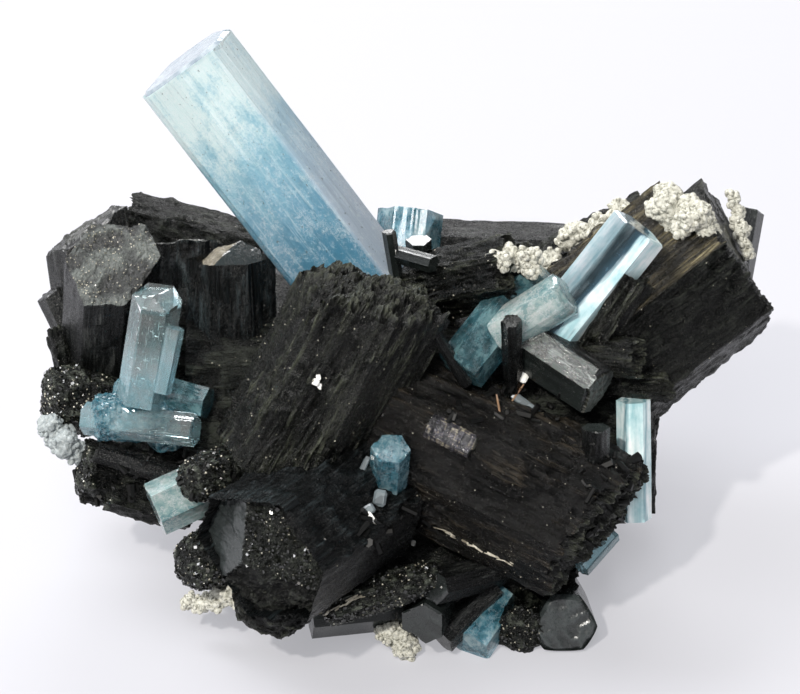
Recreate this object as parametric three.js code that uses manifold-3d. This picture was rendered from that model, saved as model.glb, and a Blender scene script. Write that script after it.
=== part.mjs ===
// A cabinet specimen: aquamarine prisms standing in a cluster of black tourmaline (schorl),
// with pale hyalite and feldspar crusts. The cluster is one intergrown solid; every aquamarine
// crystal or group and every crust is a solid of its own that sits in a socket of the cluster.
//
// Places are in millimetres in the display frame: x to the right, y up and z towards someone
// who looks square at the display side. The whole specimen then leans back by REST_LEAN, the way
// it rests on a table: in the finished part +Z is up and the display side faces -Y.
import * as THREE from 'three';
import { mergeVertices } from 'three/addons/utils/BufferGeometryUtils.js';
import Module from 'manifold-3d';

const wasm = await Module();
wasm.setup();

const REST_LEAN = THREE.MathUtils.degToRad(62);
const REST_SHIFT = new THREE.Vector3(-0.4, -0.7, 34.5);
const SOCKET_GAP = 0.3; // free space between a seated crystal or crust and the schorl round it
const RIDGE = 0.03; // how far a prism face's ridges stand in or out, as a share of its width
const GOLDEN_ANGLE = Math.PI * (3 - Math.sqrt(5)); // spreads parallel crystals evenly over an end
const MERGE_WITHIN = 1e-4;

// Distances of a prism's six faces from its axis, as shares of half its width.
const BERYL_HABIT = [1, 1, 1, 1, 1, 1];
const SCHORL_HABIT = [1, 0.9, 1.02, 0.88, 1, 0.92];
const TABULAR_HABIT = [0.72, 1, 1, 0.72, 1, 1];

// The intergrown schorl crystals. A crystal runs from its foot to its tip and is `across` wide.
// stripes: ridges on each prism face. steps: thin parallel crystals that rib its sides and step its
// end. rough: how unevenly those end. rise: how far the end domes out. facing: the way an oblique
// end faces. roll: turn about the axis, in degrees.
const SCHORL = {
  // the display side, front
  centre: {
    foot: [-15.6, -16.3, 8], tip: [-3.3, 6.5, 14], across: 18.5, facing: [0.3, 0.9, 0.3],
    stripes: 3, steps: 10, rough: 3, rise: 2.5,
  },
  lowerFront: {
    foot: [-4, -19, 7], tip: [-16.5, -28, 23], across: 16,
    stripes: 2, steps: 8, rough: 1.6, rise: 1,
  },
  lowerFace: { foot: [-21, -34, 10], tip: [-22.5, -18.5, 14.5], across: 7.5 },
  lobeBottom: { foot: [-15, -26, 4], tip: [-18.5, -33, 18], across: 9.5, steps: 4, rough: 2 },
  lobeLow: { foot: [-19, -26, 2], tip: [-27.5, -28.5, 15], across: 7.5, steps: 4, rough: 2 },
  lobeHigh: { foot: [-18.5, -15.5, 4], tip: [-27.5, -17.5, 15], across: 6.2, steps: 3, rough: 1.6 },
  lowerRight: {
    foot: [-1, -10.5, 4], tip: [25.5, -23.8, 10.5], across: 20, facing: [0.75, -0.6, 0.25],
    stripes: 3, steps: 7, rough: 2, rise: 1,
  },
  rightSliver: { foot: [25.5, -23.5, 10], tip: [25.5, -10.5, 15], across: 3.5 },
  fan: { foot: [27.5, -0.5, 5], tip: [32, 9.5, 7], across: 4.7 },
  fanLow: { foot: [22, -0.5, 6], tip: [31, -1.5, 11], across: 4.8 },
  fanWedge: { foot: [25.5, -5, 4], tip: [35.5, -5.5, 7], across: 3.4 },
  glossyBlock: { foot: [16.5, 1, 7], tip: [26, -6, 13], across: 7 },
  smallUpright: { foot: [15.2, -9.5, 3], tip: [14.5, 3.5, 16], across: 2.5 },
  lath: { foot: [8.8, -5, 10], tip: [3.8, 3.2, 14], across: 1.6 },
  // right and top
  rightLarge: {
    foot: [26, -1.5, -4], tip: [43.3, 12.3, -5], across: 24.5,
    stripes: 3, steps: 6, rough: 1.5, rise: 1.5,
  },
  rightCap: { foot: [33, 8, -6], tip: [45, 17.1, -7], across: 14, facing: [0.85, 0.45, 0.25] },
  rightBack: { foot: [47, 9, -14], tip: [49, 19, -16], across: 3.6 },
  rightFlank: { foot: [32, -7, -8], tip: [31.5, -22, -5], across: 6.4 },
  upperCentre: {
    foot: [2.5, 8, -3], tip: [15, 10.5, 9], across: 8.8, stripes: 2, steps: 4, rough: 1.5,
  },
  perchedLeaf: { foot: [-0.5, 9.5, 1], tip: [-1.5, 15.5, 4], across: 1.7 },
  perchedHex: { foot: [2.5, 9.5, -4], tip: [2.5, 14.5, -1], across: 3.2 },
  perchedBar: { foot: [-0.5, 12.5, 2], tip: [4.5, 11, 6], across: 2.2 },
  backTop: { foot: [1.5, 13.5, -22], tip: [23, 12.7, -23], across: 9, stripes: 2 },
  backRight: { foot: [19.5, 9, -18], tip: [35, 17.5, -18], across: 8.5, stripes: 2 },
  // left
  leftHex: {
    foot: [-40.7, -3.6, -11], tip: [-38.7, 11.4, 2], across: 11.6, stripes: 2, facing: [-0.1, 0.4, 0.91],
  },
  leftBack: {
    foot: [-44.5, -0.5, -12], tip: [-44, 16.6, -13], across: 11.2, stripes: 2, facing: [-0.6, 0.75, 0.2],
  },
  leftLedge: { foot: [-45.5, 1.5, -12], tip: [-50, 7.8, -12], across: 3 },
  leftStub: { foot: [-45.5, -4.5, -7], tip: [-47, 2, -6], across: 2.5 },
  leftRidge: { foot: [-19, 12.4, -17], tip: [-38, 17, -18], across: 9 },
  leftDark: { foot: [-29, -2.5, -11], tip: [-29.5, 14.5, -11], across: 8.5 },
  midLeft: { foot: [-22.5, -8.5, -3], tip: [-22.8, 10.8, 1], across: 10.8, stripes: 2, rise: 2 },
  leftLow: { foot: [-38, -7.5, -6], tip: [-48, -7, -2], across: 8.5, steps: 3, rough: 2 },
  leftBottom: { foot: [-28, -19, -4], tip: [-43, -16.5, 1], across: 8.4, steps: 4, rough: 2 },
  leftBar: { foot: [-26, -18.5, 4], tip: [-40.5, -14, 5], across: 2.8 },
  leftKeel: { foot: [-28, -22.5, -2], tip: [-39.5, -19.5, 2], across: 5 },
  // underneath
  keelSmooth: { foot: [4.5, -34.5, 2], tip: [-12, -36, 5], across: 5.4 },
  keelGlitter: { foot: [5.5, -30, 10], tip: [-10, -34.5, 14], across: 4.4 },
  keelRhomb: { foot: [5.5, -32.5, 2], tip: [3, -36.5, 10], across: 5.6 },
  keelStep: { foot: [13.5, -30, 2], tip: [4.5, -31.5, 12], across: 4.4 },
  keelGrey: { foot: [12.5, -32.5, 2], tip: [5.5, -39, 6], across: 3.8 },
  footHex: { foot: [20.5, -34.5, -8], tip: [20, -36.5, 5], across: 10.4 },
  footLump: { foot: [17, -34.5, -6], tip: [14.5, -39, 5], across: 7 },
  // the body of the cluster
  core: { foot: [-29, -6.5, -11], tip: [31, -7.5, -12], across: 31 },
  coreLow: { foot: [-15, -29.5, -8], tip: [23.5, -29.5, -8], across: 19 },
  coreLeft: { foot: [-22, -2, -14], tip: [-44, 1, -13], across: 17 },
  coreLowLeft: { foot: [-16, -15, -9], tip: [-37, -13, -7], across: 13 },
  // the far side
  backLeft: { foot: [-14, -0.5, -12], tip: [-20.5, 7, -38], across: 14, stripes: 2 },
  backRightTall: { foot: [6.7, -4.6, -14], tip: [14.7, 2.5, -40], across: 16, stripes: 2 },
  backMiddle: { foot: [-2.8, -14.3, -12], tip: [-7.3, -18, -39], across: 15, stripes: 2, rise: 2 },
  backFlank: { foot: [20, -10, -12], tip: [30, -12, -32], across: 11, stripes: 2, rise: 1.5 },
  backFlankLeft: { foot: [-25, -10, -12], tip: [-36, -12, -32], across: 12, stripes: 2, rise: 1.5 },
  backFoot: { foot: [6.9, -23.9, -10], tip: [10.2, -31, -34], across: 13, stripes: 2 },
  backFootLeft: { foot: [-14, -22, -8], tip: [-22, -26, -28], across: 11, stripes: 2 },
};

// Aquamarine crystals. Those of one list have grown together and are one solid.
const AQUAMARINE = {
  aquamarine_main: {
    crystals: [{
      foot: [-4.8, 7.4, -4], tip: [-29.1, 38.6, 2.2], across: 13.6, roll: -12, habit: TABULAR_HABIT,
      bevel: 0.6,
    }],
  },
  aquamarine_left_group: {
    crystals: [
      { foot: [-34.5, -7.5, 6], tip: [-32, 6.9, 9.5], across: 5.8, facing: [0.1, 0.8, 0.6] },
      { foot: [-31.5, -6, 9], tip: [-29.6, 2.5, 11], across: 2.2 },
      { foot: [-35, -5, 4], tip: [-25.5, -7.5, 7], across: 4 },
      { foot: [-42, -9.5, 5], tip: [-27, -11, 9.5], across: 3.9 },
    ],
    lumps: { from: [-40, -11, 3], to: [-32, -13.5, 4], count: 5, size: 2.8, spread: 2 },
  },
  aquamarine_lower_left: { crystals: [{ foot: [-23.5, -17.5, 5], tip: [-32.3, -22, 9], across: 6.4 }] },
  aquamarine_centre: { crystals: [{ foot: [-1, -19, 12], tip: [-1.5, -13, 19], across: 4.2 }] },
  aquamarine_right_slender: { crystals: [{ foot: [31.5, -23, 3], tip: [31, -7, 7], across: 4 }] },
  aquamarine_right_group: {
    crystals: [
      { foot: [19, -0.5, 3], tip: [32, 16, 7], across: 7 },
      { foot: [9.5, -2.5, 7], tip: [21.5, 6, 11], across: 6.6 },
      { foot: [11.5, 2, 3], tip: [19.5, 9.5, 6], across: 5 },
    ],
  },
  aquamarine_under_right: { crystals: [{ foot: [30, -24.5, 2], tip: [24.5, -30, 5], across: 2.6 }] },
  aquamarine_back: { crystals: [{ foot: [0.5, 10, -17], tip: [1.5, 19, -18], across: 8 }] },
  aquamarine_foot: {
    crystals: [{ foot: [14, -34, 0], tip: [9.5, -40, 5], across: 5 }],
    lumps: { from: [8, -38, 3], to: [13, -39.5, 5], count: 3, size: 2.1, spread: 1 },
  },
};

// Pale crusts: hyalite and feldspar, each a row of lumps grown into one another.
const CRUSTS = {
  crust_right_top: { from: [34.5, 19.8, 1], to: [40, 16.8, 6.5], count: 7, size: 2.3, spread: 2.2 },
  crust_right_edge: { from: [46.5, 20, -9], to: [48.5, 13, -7], count: 5, size: 1.4, spread: 1 },
  crust_back: { from: [22, 14, -12], to: [33.5, 19.3, -10], count: 6, size: 2.2, spread: 1.2 },
  crust_centre: { from: [12.5, 12, 10.5], to: [18, 11, 10.5], count: 5, size: 1.7, spread: 1.5 },
  crust_bottom: { from: [-2, -38.5, 4], to: [1.5, -40, 5], count: 4, size: 2.1, spread: 1.5 },
  crust_lower_left: { from: [-28, -34, 4], to: [-26, -35, 5], count: 2, size: 1.6, spread: 1 },
  feldspar_left: { from: [-46.5, -11.5, 0], to: [-44, -14.5, 1], count: 4, size: 2, spread: 1.5 },
};

const SCHORL_LOOK = new THREE.MeshStandardMaterial({ color: 0x1c1e1d, roughness: 0.5, metalness: 0 });
const AQUAMARINE_LOOK = new THREE.MeshStandardMaterial({
  color: 0x8fc1d4, roughness: 0.12, metalness: 0, transparent: true, opacity: 0.6,
});
const CRUST_LOOK = new THREE.MeshStandardMaterial({ color: 0xd9d6cc, roughness: 0.8, metalness: 0 });

/** A repeatable pseudo-random number from -0.5 to 0.5 for a place on a crystal. */
function scatter(a, b, c) {
  const wave = Math.sin(a * 12.9898 + b * 78.233 + c * 37.719) * 43758.5453;
  return wave - Math.floor(wave) - 0.5;
}

/** The corners of a six-sided cross-section: where neighbouring face lines meet. */
function sectionCorners(across, habit, roll) {
  const step = Math.PI / 3;
  return habit.map((share, i) => {
    const near = (share * across) / 2;
    const far = (habit[(i + 1) % 6] * across) / 2;
    const along = (far - near * Math.cos(step)) / Math.sin(step);
    const angle = i * step + roll;
    return new THREE.Vector2(
      near * Math.cos(angle) - along * Math.sin(angle),
      near * Math.sin(angle) + along * Math.cos(angle),
    );
  });
}

/** The outline of a cross-section, each side broken into ridges that stand in or out a little. */
function sectionOutline(crystal, seed) {
  const { across, habit = SCHORL_HABIT, stripes = 1 } = crystal;
  const corners = sectionCorners(across, habit, THREE.MathUtils.degToRad(crystal.roll ?? 0));
  return corners.flatMap((corner, i) => {
    const next = corners[(i + 1) % 6];
    return Array.from({ length: stripes }, (_, k) => {
      const point = corner.clone().lerp(next, k / stripes);
      const stand = k > 0 ? 2 * RIDGE * across * scatter(i, k, seed) : 0;
      return point.setLength(point.length() + stand);
    });
  });
}

/** Rings from the foot to the middle of the end: share of the section, height, whether on the end. */
function crystalRings({ across, rise = 0, bevel = 0 }, length) {
  const foot = [{ share: 0, height: 0, end: false }, { share: 1, height: 0, end: false }];
  const rim = [{ share: 1, height: length - bevel, end: true }];
  if (bevel) rim.push({ share: 1 - (2 * bevel) / across, height: length, end: true });
  return [...foot, ...rim, { share: 0, height: length + rise, end: true }];
}

/** The axis, length and cross directions of a crystal, and the slope of its end. */
function crystalAxes(crystal) {
  const foot = new THREE.Vector3(...crystal.foot);
  const axis = new THREE.Vector3(...crystal.tip).sub(foot);
  const length = axis.length();
  axis.normalize();
  const viewer = Math.abs(axis.z) > 0.95 ? new THREE.Vector3(0, 1, 0) : new THREE.Vector3(0, 0, 1);
  const front = viewer.addScaledVector(axis, -viewer.dot(axis)).normalize();
  const side = axis.clone().cross(front);
  const facing = crystal.facing ? new THREE.Vector3(...crystal.facing).normalize() : axis;
  const slope = new THREE.Vector2(front.dot(facing), side.dot(facing)).divideScalar(-axis.dot(facing));
  const placeOf = (across, height) => foot.clone()
    .addScaledVector(front, across.x)
    .addScaledVector(side, across.y)
    .addScaledVector(axis, height);
  return { length, slope, placeOf };
}

/** Thin parallel crystals on the sides and end of a crystal, which give it its ribs and steps. */
function parallelGrowth(crystal, seed) {
  const { steps = 0, across, rise = 0, rough = 0 } = crystal;
  const { length, slope, placeOf } = crystalAxes(crystal);
  return Array.from({ length: steps }, (_, k) => {
    const fromAxis = 0.9 * Math.sqrt((k + 0.5) / steps); // 0 on the axis, 1 at the prism faces
    const turn = k * GOLDEN_ANGLE + seed;
    const at = new THREE.Vector2(Math.cos(turn), Math.sin(turn)).multiplyScalar((fromAxis * across) / 2);
    const dome = rise - (rise + 0.5 * rough) * fromAxis ** 2;
    const top = length + dome + at.dot(slope) + rough * (0.5 + scatter(k, 1, seed));
    const bottom = length * (0.35 + 0.5 * scatter(k, 2, seed)) + at.dot(slope);
    return {
      foot: placeOf(at, Math.max(0, bottom)).toArray(),
      tip: placeOf(at, top).toArray(),
      across: across * (0.3 + 0.14 * scatter(k, 3, seed)),
      rise: 0.04 * across,
      facing: crystal.facing,
    };
  });
}

/** A crystal as a closed solid in the display frame. */
function crystalSolid(crystal, seed) {
  const { length, slope, placeOf } = crystalAxes(crystal);
  const outline = sectionOutline(crystal, seed);
  const rings = crystalRings(crystal, length);
  const profile = rings.map((ring) => new THREE.Vector2(ring.share, ring.height));
  const geometry = new THREE.LatheGeometry(profile, outline.length);
  const position = geometry.getAttribute('position');
  for (let column = 0; column <= outline.length; column++) {
    const turn = column % outline.length;
    rings.forEach((ring, row) => {
      const at = outline[turn].clone().multiplyScalar(ring.share);
      const place = placeOf(at, ring.height + (ring.end ? at.dot(slope) : 0));
      position.setXYZ(column * rings.length + row, place.x, place.y, place.z);
    });
  }
  return solidOf(geometry);
}

/** A three.js geometry as a manifold solid. */
function solidOf(geometry) {
  geometry.deleteAttribute('normal');
  geometry.deleteAttribute('uv');
  const merged = mergeVertices(geometry, MERGE_WITHIN);
  return new wasm.Manifold(new wasm.Mesh({
    numProp: 3,
    vertProperties: merged.getAttribute('position').array,
    triVerts: new Uint32Array(merged.index.array),
  }));
}

/** The largest body of a solid: a cut can leave loose chips behind, which are dropped. */
function mainBody(solid) {
  const bodies = solid.decompose();
  return bodies.reduce((largest, body) => (body.volume() > largest.volume() ? body : largest));
}

/** The same crystal, larger all round by the socket gap. */
function socketFor(crystal) {
  const foot = new THREE.Vector3(...crystal.foot);
  const tip = new THREE.Vector3(...crystal.tip);
  const reach = tip.clone().sub(foot).setLength(SOCKET_GAP);
  return {
    ...crystal,
    foot: foot.sub(reach).toArray(),
    tip: tip.add(reach).toArray(),
    across: crystal.across + 2 * SOCKET_GAP,
  };
}

/** A row of faceted lumps, each `grow` larger than its size. */
function lumpSolids({ from, to, count, size, spread }, grow = 0) {
  const start = new THREE.Vector3(...from);
  const end = new THREE.Vector3(...to);
  return Array.from({ length: count }, (_, k) => {
    const radius = size * (1 + 0.4 * scatter(k, 1, count));
    const lump = new THREE.IcosahedronGeometry(radius + grow);
    lump.rotateX(k + 1);
    lump.rotateZ(2 * k);
    const place = start.clone().lerp(end, k / (count - 1));
    const aside = [2, 3, 4].map((axis) => spread * scatter(k, axis, count));
    lump.translate(place.x + aside[0], place.y + aside[1], place.z + aside[2]);
    return solidOf(lump);
  });
}

/** The solids of a list of crystals, each with its parallel growth. */
function crystalSolids(crystals, habit) {
  return crystals.flatMap((crystal, i) => {
    const growth = parallelGrowth(crystal, i + 1);
    return [crystal, ...growth].map((one, k) => crystalSolid({ habit, ...one }, i + 1 + k));
  });
}

/** A named mesh from a solid, with flat-shaded faces. */
function meshOf(name, solid, look) {
  const { numProp, vertProperties, triVerts } = solid.getMesh();
  const points = new Float32Array((vertProperties.length / numProp) * 3);
  for (let i = 0; i < points.length / 3; i++) {
    points.set(vertProperties.subarray(i * numProp, i * numProp + 3), i * 3);
  }
  const geometry = new THREE.BufferGeometry();
  geometry.setAttribute('position', new THREE.BufferAttribute(points, 3));
  geometry.setIndex(new THREE.BufferAttribute(triVerts, 1));
  geometry.computeVertexNormals();
  const mesh = new THREE.Mesh(geometry, look);
  mesh.name = name;
  return mesh;
}

const specimen = new THREE.Group();
specimen.rotation.x = REST_LEAN;
specimen.position.copy(REST_SHIFT);
specimen.updateMatrixWorld(true);

/** The table under the specimen, in the display frame: what would sink into it is worn flat. */
function tableTop() {
  const thick = 60;
  const wide = 300;
  const block = new THREE.BoxGeometry(wide, wide, thick);
  block.translate(0, 0, -thick / 2);
  block.applyMatrix4(specimen.matrixWorld.clone().invert());
  return solidOf(block);
}

const { union } = wasm.Manifold;
const table = tableTop();

const aquamarines = Object.entries(AQUAMARINE).map(([name, { crystals, lumps }]) => {
  const solids = crystalSolids(crystals, BERYL_HABIT);
  const sockets = crystalSolids(crystals.map(socketFor), BERYL_HABIT);
  if (lumps) {
    solids.push(...lumpSolids(lumps));
    sockets.push(...lumpSolids(lumps, SOCKET_GAP));
  }
  return { name, look: AQUAMARINE_LOOK, solid: union(solids), socket: union(sockets) };
});

const aquamarineSockets = union(aquamarines.map(({ socket }) => socket));
const crusts = Object.entries(CRUSTS).map(([name, lumps]) => ({
  name,
  look: CRUST_LOOK,
  solid: union(lumpSolids(lumps)).subtract(aquamarineSockets),
  socket: union(lumpSolids(lumps, SOCKET_GAP)),
}));

const seated = [...aquamarines, ...crusts];
const sockets = union(seated.map(({ socket }) => socket));
const schorl = union(crystalSolids(Object.values(SCHORL), SCHORL_HABIT)).subtract(sockets);
specimen.add(meshOf('schorl_cluster', mainBody(schorl.subtract(table)), SCHORL_LOOK));
for (const { name, solid, look } of seated) {
  specimen.add(meshOf(name, mainBody(solid.subtract(table)), look));
}

export default specimen;
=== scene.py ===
"""A cabinet specimen of aquamarine on black tourmaline (schorl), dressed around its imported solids.

Places are millimetres in the display frame, as on the solids: x to the right, y up and z towards
someone who looks square at the display side. LEAN and SHIFT take them to the row frame, in metres.
"""

import math
from itertools import product

import bmesh
import bpy
import numpy as np
from mathutils import Matrix, Vector


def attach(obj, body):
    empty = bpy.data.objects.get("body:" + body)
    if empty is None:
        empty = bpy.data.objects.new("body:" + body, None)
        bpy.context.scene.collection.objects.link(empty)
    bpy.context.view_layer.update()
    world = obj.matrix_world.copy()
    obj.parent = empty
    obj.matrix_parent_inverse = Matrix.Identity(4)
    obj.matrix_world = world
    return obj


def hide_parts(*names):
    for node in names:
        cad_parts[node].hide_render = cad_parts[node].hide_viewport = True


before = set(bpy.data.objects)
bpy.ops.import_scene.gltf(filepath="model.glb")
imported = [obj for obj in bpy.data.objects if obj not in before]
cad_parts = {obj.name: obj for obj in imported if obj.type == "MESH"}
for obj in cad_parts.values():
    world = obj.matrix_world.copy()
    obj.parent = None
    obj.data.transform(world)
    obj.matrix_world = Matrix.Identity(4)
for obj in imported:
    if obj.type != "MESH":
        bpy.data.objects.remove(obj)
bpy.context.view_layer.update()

MM = 0.001
LEAN = math.radians(62)
SHIFT = Vector((-0.4, -0.7, 34.5))
DISPLAY_TO_ROW = Matrix.Scale(MM, 4) @ Matrix.Translation(SHIFT) @ Matrix.Rotation(LEAN, 4, "X")
TURN_TO_ROW = DISPLAY_TO_ROW.to_3x3().normalized()

BERYL = (1, 1, 1, 1, 1, 1)
SCHORL = (1, 0.9, 1.02, 0.88, 1, 0.92)
TABULAR = (0.72, 1, 1, 0.72, 0.74, 1.15)

# ---------------------------------------------------------------- how surfaces grew
# Ribs of a prism face, coarse to fine: rib width, how far a rib runs, how far ribs stand apart and
# how much of that is in sharp ledges; in mm, the last a share.
SIDES = {
    "ribbed": ((3.2, 14.0, 0.5, 0.0), (1.3, 9.0, 0.5, 0.1), (0.7, 6.0, 0.5, 0.2), (0.36, 4.0, 0.34, 0.3)),
    "bark": ((3.0, 6.0, 0.6, 0.0), (1.2, 3.2, 0.5, 0.15), (0.65, 2.2, 0.4, 0.2), (0.36, 1.4, 0.2, 0.3)),
    "shaded": ((3.0, 6.0, 0.6, 0.0), (1.2, 3.2, 0.5, 0.15), (0.65, 2.2, 0.4, 0.2)),
    "golden": ((2.2, 18.0, 0.25, 0.2), (1.0, 14.0, 0.5, 0.3), (0.52, 10.0, 0.4, 0.3)),
    "striped": ((2.2, 18.0, 0.2, 0.2), (0.8, 9.0, 0.2, 0.5), (0.38, 5.0, 0.12, 0.6)),
    "smooth": ((4.0, 20.0, 0.04, 0.3), (0.9, 12.0, 0.015, 0.5)),
    "polished": ((4.0, 20.0, 0.03, 0.3), (0.9, 12.0, 0.02, 0.5)),
    "granular": ((1.8, 2.0, 0.6, 0.0), (0.7, 0.8, 0.4, 0.1), (0.38, 0.4, 0.25, 0.2)),
    "terraced": ((3.0, 0.5, 0.16, 0.1), (1.2, 0.3, 0.06, 0.1)),
    "fluted": ((2.4, 40.0, 0.10, 0.3), (1.1, 30.0, 0.07, 0.6), (0.55, 18.0, 0.04, 0.8)),
    "striae": ((1.7, 20.0, 0.07, 0.2), (0.6, 14.0, 0.05, 0.7), (0.3, 9.0, 0.025, 0.8)),
}
# How far the crinkled patches that cross the ribs stand out, in mm.
CRINKLE = {"ribbed": 0.6, "bark": 0.7, "striped": 0.08, "granular": 0.4}
# Tips on a prism end, coarse to fine: tip width, how far tips stand apart and how much of that is
# in flat-topped columns; in mm, the last a share.
ENDS = {
    "crinkled": ((4.5, 1.2, 0.0), (1.9, 1.3, 0.0), (0.9, 0.8, 0.1), (0.42, 0.3, 0.2)),
    "granular": ((4.0, 0.35, 0.2), (0.8, 0.30, 0.4), (0.4, 0.35, 0.5)),
    "stepped": ((3.2, 0.6, 0.9), (1.1, 0.22, 0.8), (0.4, 0.06, 0.5)),
    "frosted": ((4.0, 0.5, 0.1), (0.9, 0.20, 0.1), (0.42, 0.1, 0.2)),
    "mottled": ((4.0, 0.8, 0.1), (1.6, 0.7, 0.1), (0.8, 0.5, 0.15), (0.42, 0.3, 0.3)),
    "weathered": ((3.0, 0.3, 0.3), (0.9, 0.2, 0.3), (0.45, 0.1, 0.4)),
    "smooth": ((3.0, 0.04, 0.5), (0.9, 0.012, 0.5)),
    "satin": ((2.4, 0.25, 0.3), (0.9, 0.06, 0.5)),
}


def schorl(foot, tip, across, sides="ribbed", end="crinkled", **more):
    """One schorl crystal: where it runs, how wide it is, and how its faces and its end grew."""
    return dict({"habit": SCHORL}, foot=foot, tip=tip, across=across, sides=sides, end=end, **more)


def beryl(foot, tip, across, sides="striae", end="smooth", **more):
    """One aquamarine crystal."""
    return dict({"habit": BERYL}, foot=foot, tip=tip, across=across, sides=sides, end=end, **more)


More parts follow.
